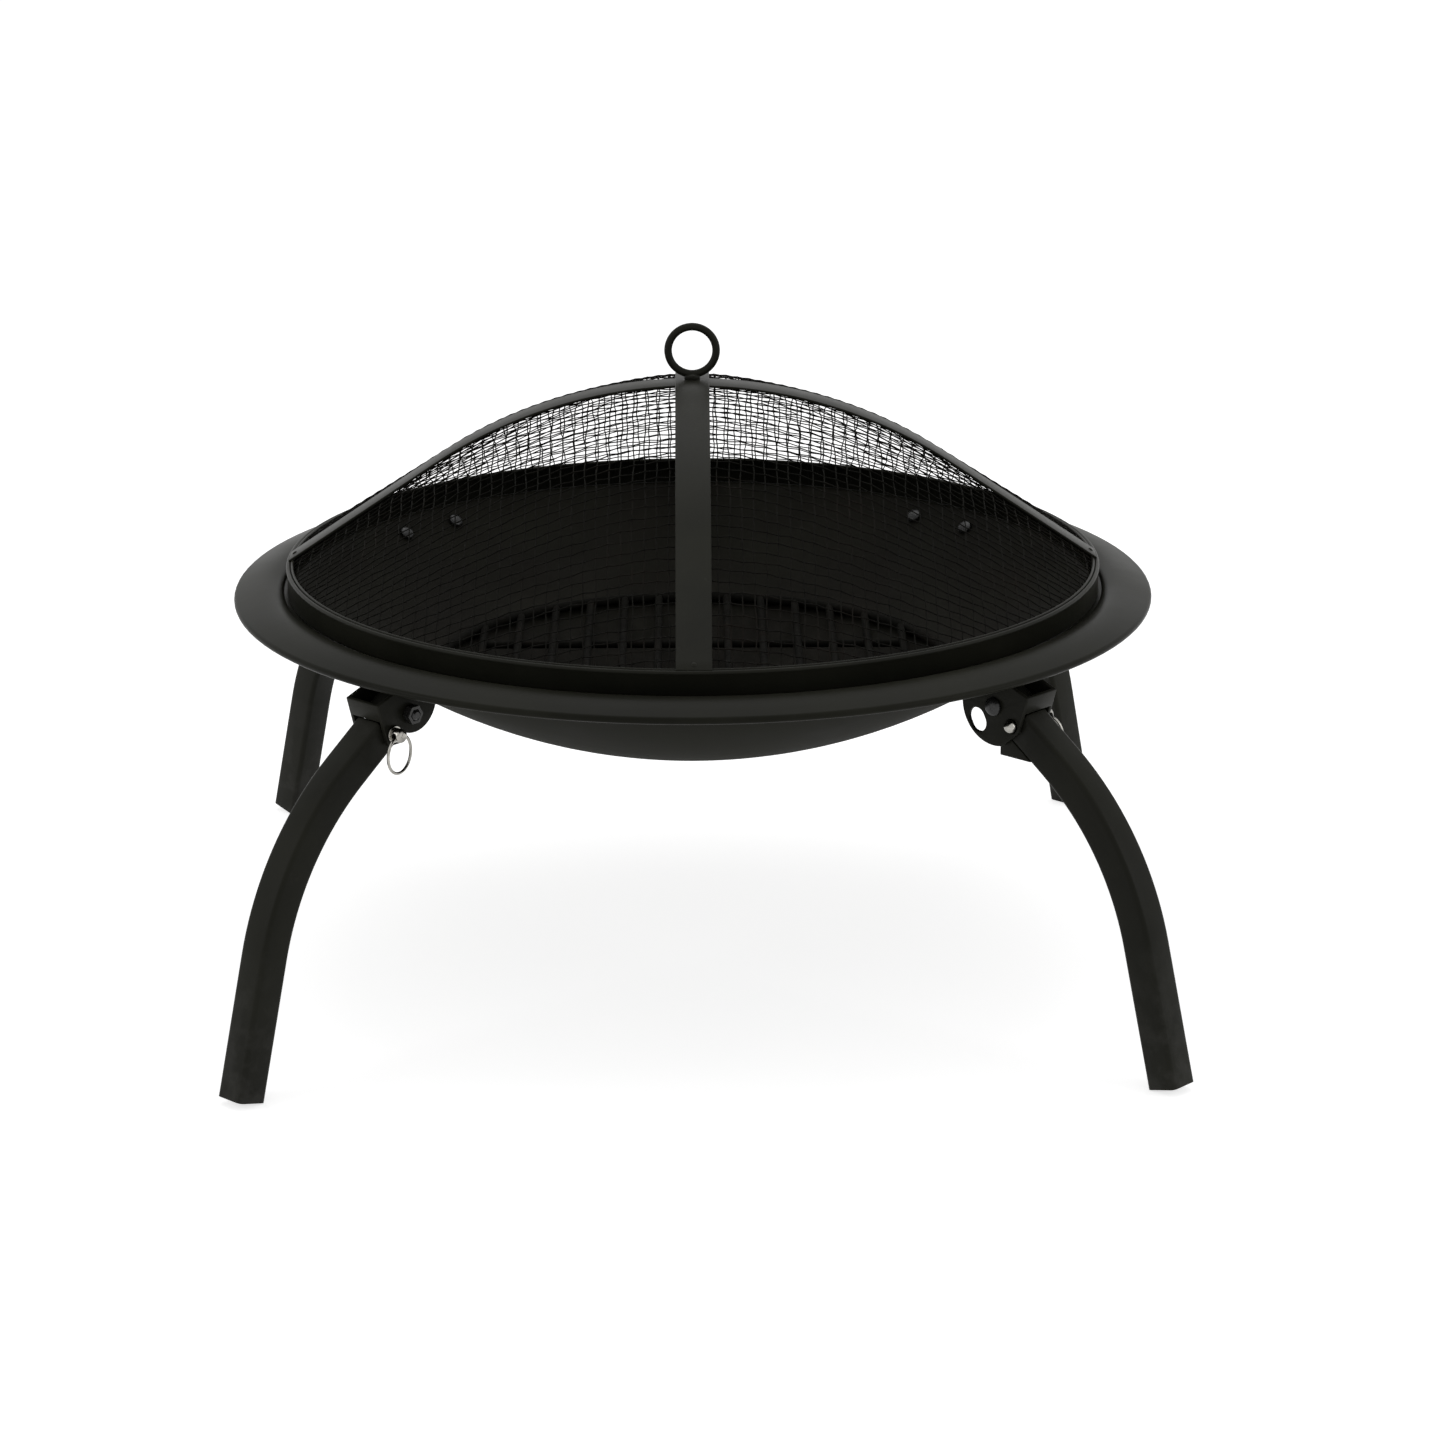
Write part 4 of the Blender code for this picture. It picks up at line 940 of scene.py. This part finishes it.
def pin_piece():
    """Lock pin with a round tip, shoulder and cross-drilled head, and its ring hole's place along Y."""
    sizes = settings("pit_legs")
    half = HALF_CHANNEL + sizes.plate
    radius = sizes.pin / 2
    tip = -half - PIN_TIP
    start = half + GAP
    after = start + PIN_SHOULDER_HEIGHT
    end = after + PIN_HEAD
    rounding = 0.0002
    wide = PIN_SHOULDER_RADIUS
    profile = arc((0, tip + radius), radius, -90, 0, 10)
    profile[0] = (0.0, tip)
    profile += [(radius, start), (wide - rounding, start), (wide, start + rounding)]
    profile += [(wide, after - rounding), (wide - rounding, after), (radius, after)]
    profile += [(radius, end - 0.001), (radius - 0.0003, end - 0.0004), (radius - 0.001, end), (0, end)]
    obj = point_along(lathe("pin", profile, 40), (0, 0, 0), (0, 1, 0))
    axis = after + PIN_HEAD / 2
    cut(obj, rod(RING_HOLE, (-0.01, axis, 0), (1, 0, 0), 0.02, 20))
    smooth(obj, 35)
    return turn_mesh(obj, Matrix.Translation(lock_point())), axis


def ring_piece(axis):
    """Pull ring of drawn wire, its ends closed in a flattened butt joint at the bottom."""
    sizes = settings("pit_legs")
    obj = upright_ring(sizes.ring_radius, sizes.ring_wire, 72, 14)
    bm = edit(obj)
    pick(bm, lambda vert: vert.co.z < 0 and abs(vert.co.x) < RING_JOINT)
    bpy.ops.transform.resize(value=(1, RING_JOINT_FLATTENED, 1), center_override=(0, 0, 0))
    smooth(obj, 60)
    turn_mesh(obj, Matrix.Rotation(math.radians(RING_TURN), 4, "Z"))
    return turn_mesh(obj, Matrix.Translation(lock_point() + Vector((0, axis, -sizes.ring_radius))))


# Lid

CROWN_RADIUS = 0.278
CROWN_SPREAD = 0.155
CROWN_FLANK = math.asin(CROWN_SPREAD / CROWN_RADIUS)
HOOP_SHEET = 0.0015
BINDING_RADIUS = 0.0009
MESH_THICKNESS = 0.0010
MESH_MARGIN = 0.002
MESH_SKIRT = 0.009
WIRE_WANDER = 0.0007
WIRE_END = 0.0008
STUD_HOLE = 0.0066
STRAP_CROWN = 0.016
STRAP_EASING = 0.034
STRAP_INSET = 0.0004
RIVET_INSET = 0.0032
RIVET_PROFILE = ((0, 0), (0.0016, 0), (0.0016, 0.0003), (0.0013, 0.0007), (0.0007, 0.0009), (0, 0.0010))
STUD_RADIUS = 0.003
COLLAR_RADIUS = 0.00475
COLLAR_HEIGHT = 0.0032
COLLAR_ROUNDING = 0.0012


def dome_height(x, y, lift=0.0):
    """Height of the lid's dome above a point, with a lift square to the dome."""
    radius = math.hypot(x, y)
    rise = CROWN_RADIUS * (1 - math.cos(CROWN_FLANK)) + (mesh_radius() - CROWN_SPREAD) * math.tan(CROWN_FLANK)
    centre = mesh_edge() + rise - CROWN_RADIUS
    grown = CROWN_RADIUS + lift
    edge = grown * math.sin(CROWN_FLANK)
    if radius < edge:
        return centre + math.sqrt(grown * grown - radius * radius)
    return centre + grown * math.cos(CROWN_FLANK) - (radius - edge) * math.tan(CROWN_FLANK)


def mesh_radius():
    """Radius of the edge of the wire mesh."""
    sizes = settings("pit_lid")
    return sizes.hoop_radius - sizes.mesh_inset


def hoop_bottom():
    """Height of the hoop's lower edge, on the bowl's ledge."""
    bowl = settings("pit_bowl")
    return bowl.clearance + bowl.depth + bowl.sheet + GAP


def mesh_edge():
    """Height of the edge of the wire mesh."""
    return hoop_bottom() + settings("pit_lid").mesh_rise


def hoop_piece():
    """Base hoop of the lid: a band with a rolled bead on top, and the wire that binds the mesh in it."""
    sizes = settings("pit_lid")
    half = HOOP_SHEET / 2
    inner = sizes.hoop_radius - half
    outer = sizes.hoop_radius + half
    bottom = hoop_bottom()
    chamfer = 0.0003
    spread = math.degrees(math.asin(half / sizes.bead))
    centre = (sizes.hoop_radius, bottom + sizes.hoop_height - sizes.bead)
    profile = [(inner, bottom + chamfer), (inner + chamfer, bottom)]
    profile += [(outer - chamfer, bottom), (outer, bottom + chamfer)]
    profile += arc(centre, sizes.bead, spread - 90, 270 - spread, 18)
    hoop = lathe("hoop", profile, 160, closed=True)
    bound = (sizes.hoop_radius - sizes.bead - BINDING_RADIUS, mesh_edge() - GAP)
    binding = lathe("binding", arc(bound, BINDING_RADIUS, 0, 360, 12)[:-1], 160, closed=True)
    obj = merge([hoop, binding], "hoop_and_binding_wire")
    smooth(obj, 50)
    finish_piece(obj, "lid", heat_paint(), ["lid_hoop"])


def crossing(i, j, half_length, over):
    """Place of a crossing on the dome, a little out of line, bent up or down, and sagged."""
    sizes = settings("pit_lid")
    x = i * sizes.pitch
    y = j * sizes.pitch
    wander = WIRE_WANDER * math.sin(1.7 * i + 0.83 * j) * math.sin(0.41 * j - 0.9 * i)
    wave = over * (1 if (i + j) % 2 else -1) * sizes.wire / 2
    inward = 0
    if abs(y) >= half_length - WIRE_END:
        y = math.copysign(half_length, y)
        wander = 0
        wave = 0
        inward = sizes.wire / 2
    x += wander
    between_straps = math.sin(2 * math.atan2(y, x)) ** 2
    share = math.hypot(x, y) / mesh_radius()
    sag = sizes.sag * between_straps * min(1.0, 2.2 * share) * (1 - share**6)
    x *= 1 - inward / mesh_radius()
    y *= 1 - inward / mesh_radius()
    return x, y, dome_height(x, y) - sag + wave


def wire_layer(name, over):
    """One layer of the woven mesh: wires along Y over the dome, their ends turned down in the hoop."""
    sizes = settings("pit_lid")
    radius = mesh_radius()
    cells = 2 * math.floor((radius - MESH_MARGIN) / sizes.pitch) + 2
    deselect()
    bpy.ops.mesh.primitive_grid_add(x_subdivisions=cells, y_subdivisions=cells, size=cells * sizes.pitch)
    obj = bpy.context.object
    edit(obj)
    bpy.ops.mesh.select_all(action="SELECT")
    bpy.ops.mesh.delete(type="ONLY_FACE")
    bm = bmesh.from_edit_mesh(obj.data)
    pick(bm, lambda edge: abs(edge.verts[0].co.x - edge.verts[1].co.x) > sizes.pitch / 2, "edges")
    bpy.ops.mesh.delete(type="EDGE")
    bm = bmesh.from_edit_mesh(obj.data)
    outside = set()
    for vert in bm.verts:
        i = round(vert.co.x / sizes.pitch)
        j = round(vert.co.y / sizes.pitch)
        half_length = math.sqrt(max(radius**2 - (i * sizes.pitch) ** 2, 0))
        if half_length < sizes.pitch or (abs(j) - 1) * sizes.pitch >= half_length:
            outside.add(vert)
        else:
            vert.co = crossing(i, j, half_length, over)
    pick(bm, lambda vert: vert in outside)
    bpy.ops.mesh.delete(type="VERT")
    bm = bmesh.from_edit_mesh(obj.data)
    pick(bm, lambda vert: math.hypot(vert.co.x, vert.co.y) > radius - sizes.wire)
    bpy.ops.mesh.extrude_vertices_move(TRANSFORM_OT_translate={"value": (0, 0, -MESH_SKIRT)})
    choose(obj)
    bpy.ops.object.convert(target="CURVE")
    obj = bpy.context.object
    obj.data.bevel_depth = sizes.wire / 2
    obj.data.bevel_resolution = 1
    obj.data.use_fill_caps = True
    bpy.ops.object.convert(target="MESH")
    obj = bpy.context.object
    smooth(obj, 70)
    obj.name = name
    obj.data.name = name
    return obj


def strap_band(lift, crown_lift):
    """Flat strap bent over the dome along X, raised further at the crown, with the stud's hole."""
    sizes = settings("pit_lid")
    length = 2 * (sizes.hoop_radius - STRAP_INSET)
    deselect()
    bpy.ops.mesh.primitive_grid_add(x_subdivisions=88, y_subdivisions=2, size=1)
    obj = bpy.context.object
    edit(obj)
    bpy.ops.mesh.select_all(action="SELECT")
    bpy.ops.transform.resize(value=(length, sizes.strap_width, 1), center_override=(0, 0, 0))
    bm = bmesh.from_edit_mesh(obj.data)
    for vert in bm.verts:
        away = min(1.0, max(0.0, (abs(vert.co.x) - STRAP_CROWN) / STRAP_EASING))
        raised = 1 - away * away * (3 - 2 * away)
        vert.co.z = dome_height(vert.co.x, 0, lift + (crown_lift - lift) * raised)
    bmesh.update_edit_mesh(obj.data)
    bpy.ops.mesh.select_all(action="SELECT")
    bpy.ops.mesh.normals_make_consistent(inside=False)
    apply_modifier(obj, "SOLIDIFY", thickness=sizes.strap_sheet, offset=0, use_even_offset=True)
    cut(obj, rod(STUD_HOLE, (0, 0, dome_height(0, 0) - 0.03), (0, 0, 1), 0.06))
    soften(obj, 0.0004)
    return obj


def rivet(side, lift):
    """Small domed rivet through one foot of a strap."""
    sizes = settings("pit_lid")
    x = side * (sizes.hoop_radius - STRAP_INSET - RIVET_INSET)
    normal = Vector((side * math.sin(CROWN_FLANK), 0, math.cos(CROWN_FLANK)))
    sunk = 0.0002
    foot = Vector((x, 0, dome_height(x, 0, lift))) + normal * (sizes.strap_sheet / 2 - sunk)
    piece = lathe("rivet", RIVET_PROFILE, 20)
    smooth(piece, 50)
    return point_along(piece, foot, normal)


def strap_piece(name, lift, crown_lift, turned, node):
    """Strap over the dome from hoop to hoop, with a rivet at each foot."""
    obj = merge([strap_band(lift, crown_lift), rivet(-1, lift), rivet(1, lift)], name)
    if turned:
        turn_mesh(obj, Matrix.Rotation(math.pi / 2, 4, "Z"))
    finish_piece(obj, "lid", heat_paint(), [node])


def handle_piece():
    """Ring handle welded on a collar, with the stud that clamps it through the lid."""
    sizes = settings("pit_lid")
    low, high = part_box("lid_handle")
    middle = high.z - sizes.handle_diameter / 2
    top = high.z - sizes.handle_diameter + sizes.handle_wire / 2
    collar = top - COLLAR_HEIGHT
    chamfer = 0.0003
    profile = [(0, low.z), (STUD_RADIUS - chamfer, low.z), (STUD_RADIUS, low.z + chamfer)]
    profile += [(STUD_RADIUS, collar), (COLLAR_RADIUS - 0.00025, collar), (COLLAR_RADIUS, collar + chamfer)]
    profile += [(COLLAR_RADIUS, top - COLLAR_ROUNDING)]
    profile += arc((COLLAR_RADIUS - COLLAR_ROUNDING, top - COLLAR_ROUNDING), COLLAR_ROUNDING, 20, 90, 5)
    profile += [(0.0026, top + 0.0003), (0, top + 0.0004)]
    base = lathe("handle_base", profile, 40)
    smooth(base, 40)
    ring = upright_ring((sizes.handle_diameter - sizes.handle_wire) / 2, sizes.handle_wire, 96, 20)
    turn_mesh(ring, Matrix.Translation((0, 0, middle)))
    smooth(ring, 60)
    obj = merge([ring, base], "handle_ring")
    finish_piece(obj, "lid", heat_paint(), ["lid_handle"])


# Operators


class FIREPIT_OT_bowl(bpy.types.Operator):
    """Model the bowl with its ledge, flange and rolled edge"""

    bl_idname = "firepit.bowl"
    bl_label = "Bowl"

    def execute(self, context):
        bowl_piece()
        return {"FINISHED"}


class FIREPIT_OT_grate(bpy.types.Operator):
    """Model the wire grate in the bowl"""

    bl_idname = "firepit.grate"
    bl_label = "Grate"

    def execute(self, context):
        grate_piece()
        return {"FINISHED"}


class FIREPIT_OT_brackets(bpy.types.Operator):
    """Model a leg bracket and copy it to the four corners"""

    bl_idname = "firepit.brackets"
    bl_label = "Leg Brackets"

    def execute(self, context):
        bracket = bracket_piece()
        nodes = ["leg_bracket_{}"]
        copy_to_corners(bracket, "bracket_plates", "base", heat_paint(), nodes)
        return {"FINISHED"}


class FIREPIT_OT_legs(bpy.types.Operator):
    """Model a bent leg tube and copy it to the four corners"""

    bl_idname = "firepit.legs"
    bl_label = "Legs"

    def execute(self, context):
        leg = leg_piece()
        copy_to_corners(leg, "leg_tube", "folding_leg_{}", heat_paint(), ["leg_{}"])
        return {"FINISHED"}


class FIREPIT_OT_bolts(bpy.types.Operator):
    """Model the pivot bolts and the bracket bolts"""

    bl_idname = "firepit.bolts"
    bl_label = "Bolts"

    def execute(self, context):
        steel = blackened_steel()
        pivot_bolt = pivot_bolt_piece()
        copy_to_corners(pivot_bolt, "pivot_dome_bolt", "base", steel, ["pivot_bolt_{}"])
        for side, word in ((-1, "a"), (1, "b")):
            name = f"bracket_dome_bolt_{word}"
            nodes = ["bracket_bolt_{}_" + word]
            copy_to_corners(bracket_bolt_piece(side), name, "base", steel, nodes)
        return {"FINISHED"}


class FIREPIT_OT_lock_pins(bpy.types.Operator):
    """Model a lock pin and its pull ring and copy them to the four corners"""

    bl_idname = "firepit.lock_pins"
    bl_label = "Lock Pins"

    def execute(self, context):
        pin, axis = pin_piece()
        copy_to_corners(pin, "plated_pin", "pin_{}", bright_plating(), ["lock_pin_{}"])
        ring = ring_piece(axis)
        copy_to_corners(ring, "plated_ring", "ring_{}", bright_plating(), ["pull_ring_{}"])
        return {"FINISHED"}


class FIREPIT_OT_hoop(bpy.types.Operator):
    """Model the lid's base hoop and the wire that binds the mesh in it"""

    bl_idname = "firepit.hoop"
    bl_label = "Lid Hoop"

    def execute(self, context):
        hoop_piece()
        return {"FINISHED"}


class FIREPIT_OT_wire_mesh(bpy.types.Operator):
    """Weave the lid's wire mesh over its dome"""

    bl_idname = "firepit.wire_mesh"
    bl_label = "Wire Mesh"

    def execute(self, context):
        along = wire_layer("mesh_wires_along", 1)
        across = wire_layer("mesh_wires_across", -1)
        turn_mesh(across, Matrix.Rotation(math.pi / 2, 4, "Z"))
        for obj in (along, across):
            finish_piece(obj, "lid", wire_paint(), ["lid_mesh"])
        return {"FINISHED"}


class FIREPIT_OT_straps(bpy.types.Operator):
    """Model the two crossed straps of the lid"""

    bl_idname = "firepit.straps"
    bl_label = "Straps"

    def execute(self, context):
        sheet = settings("pit_lid").strap_sheet
        lift = MESH_THICKNESS / 2 + GAP + sheet / 2
        crossed = lift + GAP + sheet
        strap_piece("strap_band_side_to_side", lift, lift, False, "lid_strap_side_to_side")
        strap_piece("strap_band_front_to_back", lift, crossed, True, "lid_strap_front_to_back")
        return {"FINISHED"}


class FIREPIT_OT_handle(bpy.types.Operator):
    """Model the lid's ring handle"""

    bl_idname = "firepit.handle"
    bl_label = "Handle"

    def execute(self, context):
        handle_piece()
        return {"FINISHED"}


class FIREPIT_OT_carried_over(bpy.types.Operator):
    """Finish the nuts and foot plugs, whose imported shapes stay"""

    bl_idname = "firepit.carried_over"
    bl_label = "Nuts and Plugs"

    def execute(self, context):
        for name, node in frame["nodes"].items():
            if node.hide_render:
                continue
            material = plug_plastic() if name.startswith("foot_plug") else blackened_steel()
            node.data.materials.clear()
            node.data.materials.append(material)
        return {"FINISHED"}


# Stage

FLOOR_GLOW = 0.69
WORLD_LIGHT = 0.38
LIT_POINT = Vector((0, 0, 0.2))
LAMPS = (
    ("overhead_lamp", (0.0, 0.5, 1.9), 1.6, 9),
    ("left_lamp", (-1.9, -0.9, 1.1), 1.2, 7),
    ("right_lamp", (1.9, -0.7, 1.0), 1.2, 7),
)
CAMERA_LENS = 111.615
CAMERA_PLACE = (-0.00389, -2.6389, 0.96407)
CAMERA_PITCH = math.radians(17.29)
CAMERA_YAW = math.radians(0.44)
CAMERA_ROLL = math.radians(-0.12)


def area_lamp(name, place, size, energy):
    """A soft square lamp that points at the object."""
    data = bpy.data.lights.new(name, "AREA")
    data.shape = "SQUARE"
    data.size = size
    data.energy = energy
    lamp = bpy.data.objects.new(name, data)
    bpy.context.scene.collection.objects.link(lamp)
    way = LIT_POINT - Vector(place)
    lamp.matrix_world = Matrix.Translation(place) @ way.to_track_quat("-Z", "Y").to_matrix().to_4x4()


def seen_directly(tree):
    """Share of the rays that show the surround: camera, glossy and transmission rays."""
    path = tree.nodes.new("ShaderNodeLightPath")
    seen = path.outputs["Is Camera Ray"]
    for name in ("Is Glossy Ray", "Is Transmission Ray"):
        either = tree.nodes.new("ShaderNodeMath")
        either.operation = "MAXIMUM"
        tree.links.new(seen, either.inputs[0])
        tree.links.new(path.outputs[name], either.inputs[1])
        seen = either.outputs[0]
    return seen


def studio_world():
    """Soft even light, with a white surround for the camera and for reflections."""
    world = bpy.data.worlds.new("studio")
    bpy.context.scene.world = world
    world.use_nodes = True
    tree = world.node_tree
    shade = tree.nodes["Background"]
    shade.inputs["Color"].default_value = (1, 1, 1, 1)
    strength = tree.nodes.new("ShaderNodeMapRange")
    strength.inputs["To Min"].default_value = WORLD_LIGHT
    strength.inputs["To Max"].default_value = 1.0
    tree.links.new(seen_directly(tree), strength.inputs["Value"])
    tree.links.new(strength.outputs[0], shade.inputs["Strength"])


def studio_floor():
    """Pale floor that keeps the object's shadow and turns white away from it."""
    deselect()
    bpy.ops.mesh.primitive_plane_add(size=40, location=(0, 0, 0))
    floor = bpy.context.object
    floor.name = "studio_floor"
    floor.data.name = "studio_floor"
    material = bpy.data.materials.new("studio_floor")
    material.use_nodes = True
    tree = material.node_tree
    shader = tree.nodes["Principled BSDF"]
    shader.inputs["Base Color"].default_value = (*settings("pit_colours").floor, 1)
    shader.inputs["Roughness"].default_value = 0.9
    shader.inputs["Specular IOR Level"].default_value = 0.1
    shader.inputs["Emission Color"].default_value = (1, 1, 1, 1)
    share = tree.nodes.new("ShaderNodeMath")
    share.operation = "MULTIPLY"
    share.inputs[1].default_value = FLOOR_GLOW
    tree.links.new(seen_directly(tree), share.inputs[0])
    tree.links.new(share.outputs[0], shader.inputs["Emission Strength"])
    floor.data.materials.append(material)


def photo_camera():
    """Camera at the photograph's angle, in front and a little above."""
    data = bpy.data.cameras.new("photo_camera")
    data.sensor_width = 36
    data.lens = CAMERA_LENS
    data.clip_start = 0.05
    data.clip_end = 100
    camera = bpy.data.objects.new("photo_camera", data)
    bpy.context.scene.collection.objects.link(camera)
    level = Vector((math.sin(CAMERA_YAW), math.cos(CAMERA_YAW), 0))
    forward = level * math.cos(CAMERA_PITCH) - Vector((0, 0, math.sin(CAMERA_PITCH)))
    right = forward.cross(Vector((0, 0, 1))).normalized()
    up = right.cross(forward)
    turned_right = right * math.cos(CAMERA_ROLL) + up * math.sin(CAMERA_ROLL)
    turned_up = up * math.cos(CAMERA_ROLL) - right * math.sin(CAMERA_ROLL)
    turn = Matrix((turned_right, turned_up, -forward)).transposed().to_4x4()
    camera.matrix_world = Matrix.Translation(CAMERA_PLACE) @ turn
    bpy.context.scene.camera = camera


class FIREPIT_OT_stage(bpy.types.Operator):
    """Set up the pale floor, the soft lamps and the camera"""

    bl_idname = "firepit.stage"
    bl_label = "Stage"

    def execute(self, context):
        studio_world()
        studio_floor()
        for name, place, size, energy in LAMPS:
            area_lamp(name, place, size, energy)
        photo_camera()
        context.scene.view_settings.view_transform = "Standard"
        return {"FINISHED"}


class FIREPIT_PT_sidebar(bpy.types.Panel):
    """Lists the fire pit's pieces and sizes"""

    bl_idname = "FIREPIT_PT_sidebar"
    bl_label = "Fire Pit"
    bl_space_type = "VIEW_3D"
    bl_region_type = "UI"
    bl_category = "Fire Pit"

    def draw(self, context):
        for operator in OPERATORS:
            self.layout.operator(operator.bl_idname)
        for group in GROUPS:
            box = self.layout.box()
            values = getattr(context.scene, group)
            for name in values.bl_rna.properties.keys():
                if name not in ("rna_type", "name"):
                    box.prop(values, name)


OPERATORS = (
    FIREPIT_OT_bowl,
    FIREPIT_OT_grate,
    FIREPIT_OT_brackets,
    FIREPIT_OT_legs,
    FIREPIT_OT_bolts,
    FIREPIT_OT_lock_pins,
    FIREPIT_OT_hoop,
    FIREPIT_OT_wire_mesh,
    FIREPIT_OT_straps,
    FIREPIT_OT_handle,
    FIREPIT_OT_carried_over,
    FIREPIT_OT_stage,
)
GROUPS = {"pit_bowl": BowlSizes, "pit_legs": LegSizes, "pit_lid": LidSizes, "pit_colours": FinishColours}


def register():
    """Register the groups of sizes, the operators and the panel."""
    for group in GROUPS.values():
        bpy.utils.register_class(group)
    for name, group in GROUPS.items():
        setattr(bpy.types.Scene, name, bpy.props.PointerProperty(type=group))
    for operator in OPERATORS:
        bpy.utils.register_class(operator)
    bpy.utils.register_class(FIREPIT_PT_sidebar)


def unregister():
    """Undo what register did, in the other order."""
    bpy.utils.unregister_class(FIREPIT_PT_sidebar)
    for operator in reversed(OPERATORS):
        bpy.utils.unregister_class(operator)
    for name in GROUPS:
        delattr(bpy.types.Scene, name)
    for group in reversed(GROUPS.values()):
        bpy.utils.unregister_class(group)


def main():
    """Model every piece and set up the stage."""
    register()
    for obj in list(bpy.data.objects):
        if obj.type in ("CAMERA", "LIGHT"):
            bpy.data.objects.remove(obj, do_unlink=True)
    bpy.ops.firepit.bowl()
    bpy.ops.firepit.grate()
    bpy.ops.firepit.brackets()
    bpy.ops.firepit.legs()
    bpy.ops.firepit.bolts()
    bpy.ops.firepit.lock_pins()
    bpy.ops.firepit.hoop()
    bpy.ops.firepit.wire_mesh()
    bpy.ops.firepit.straps()
    bpy.ops.firepit.handle()
    bpy.ops.firepit.carried_over()
    bpy.ops.firepit.stage()


if __name__ == "__main__":
    main()
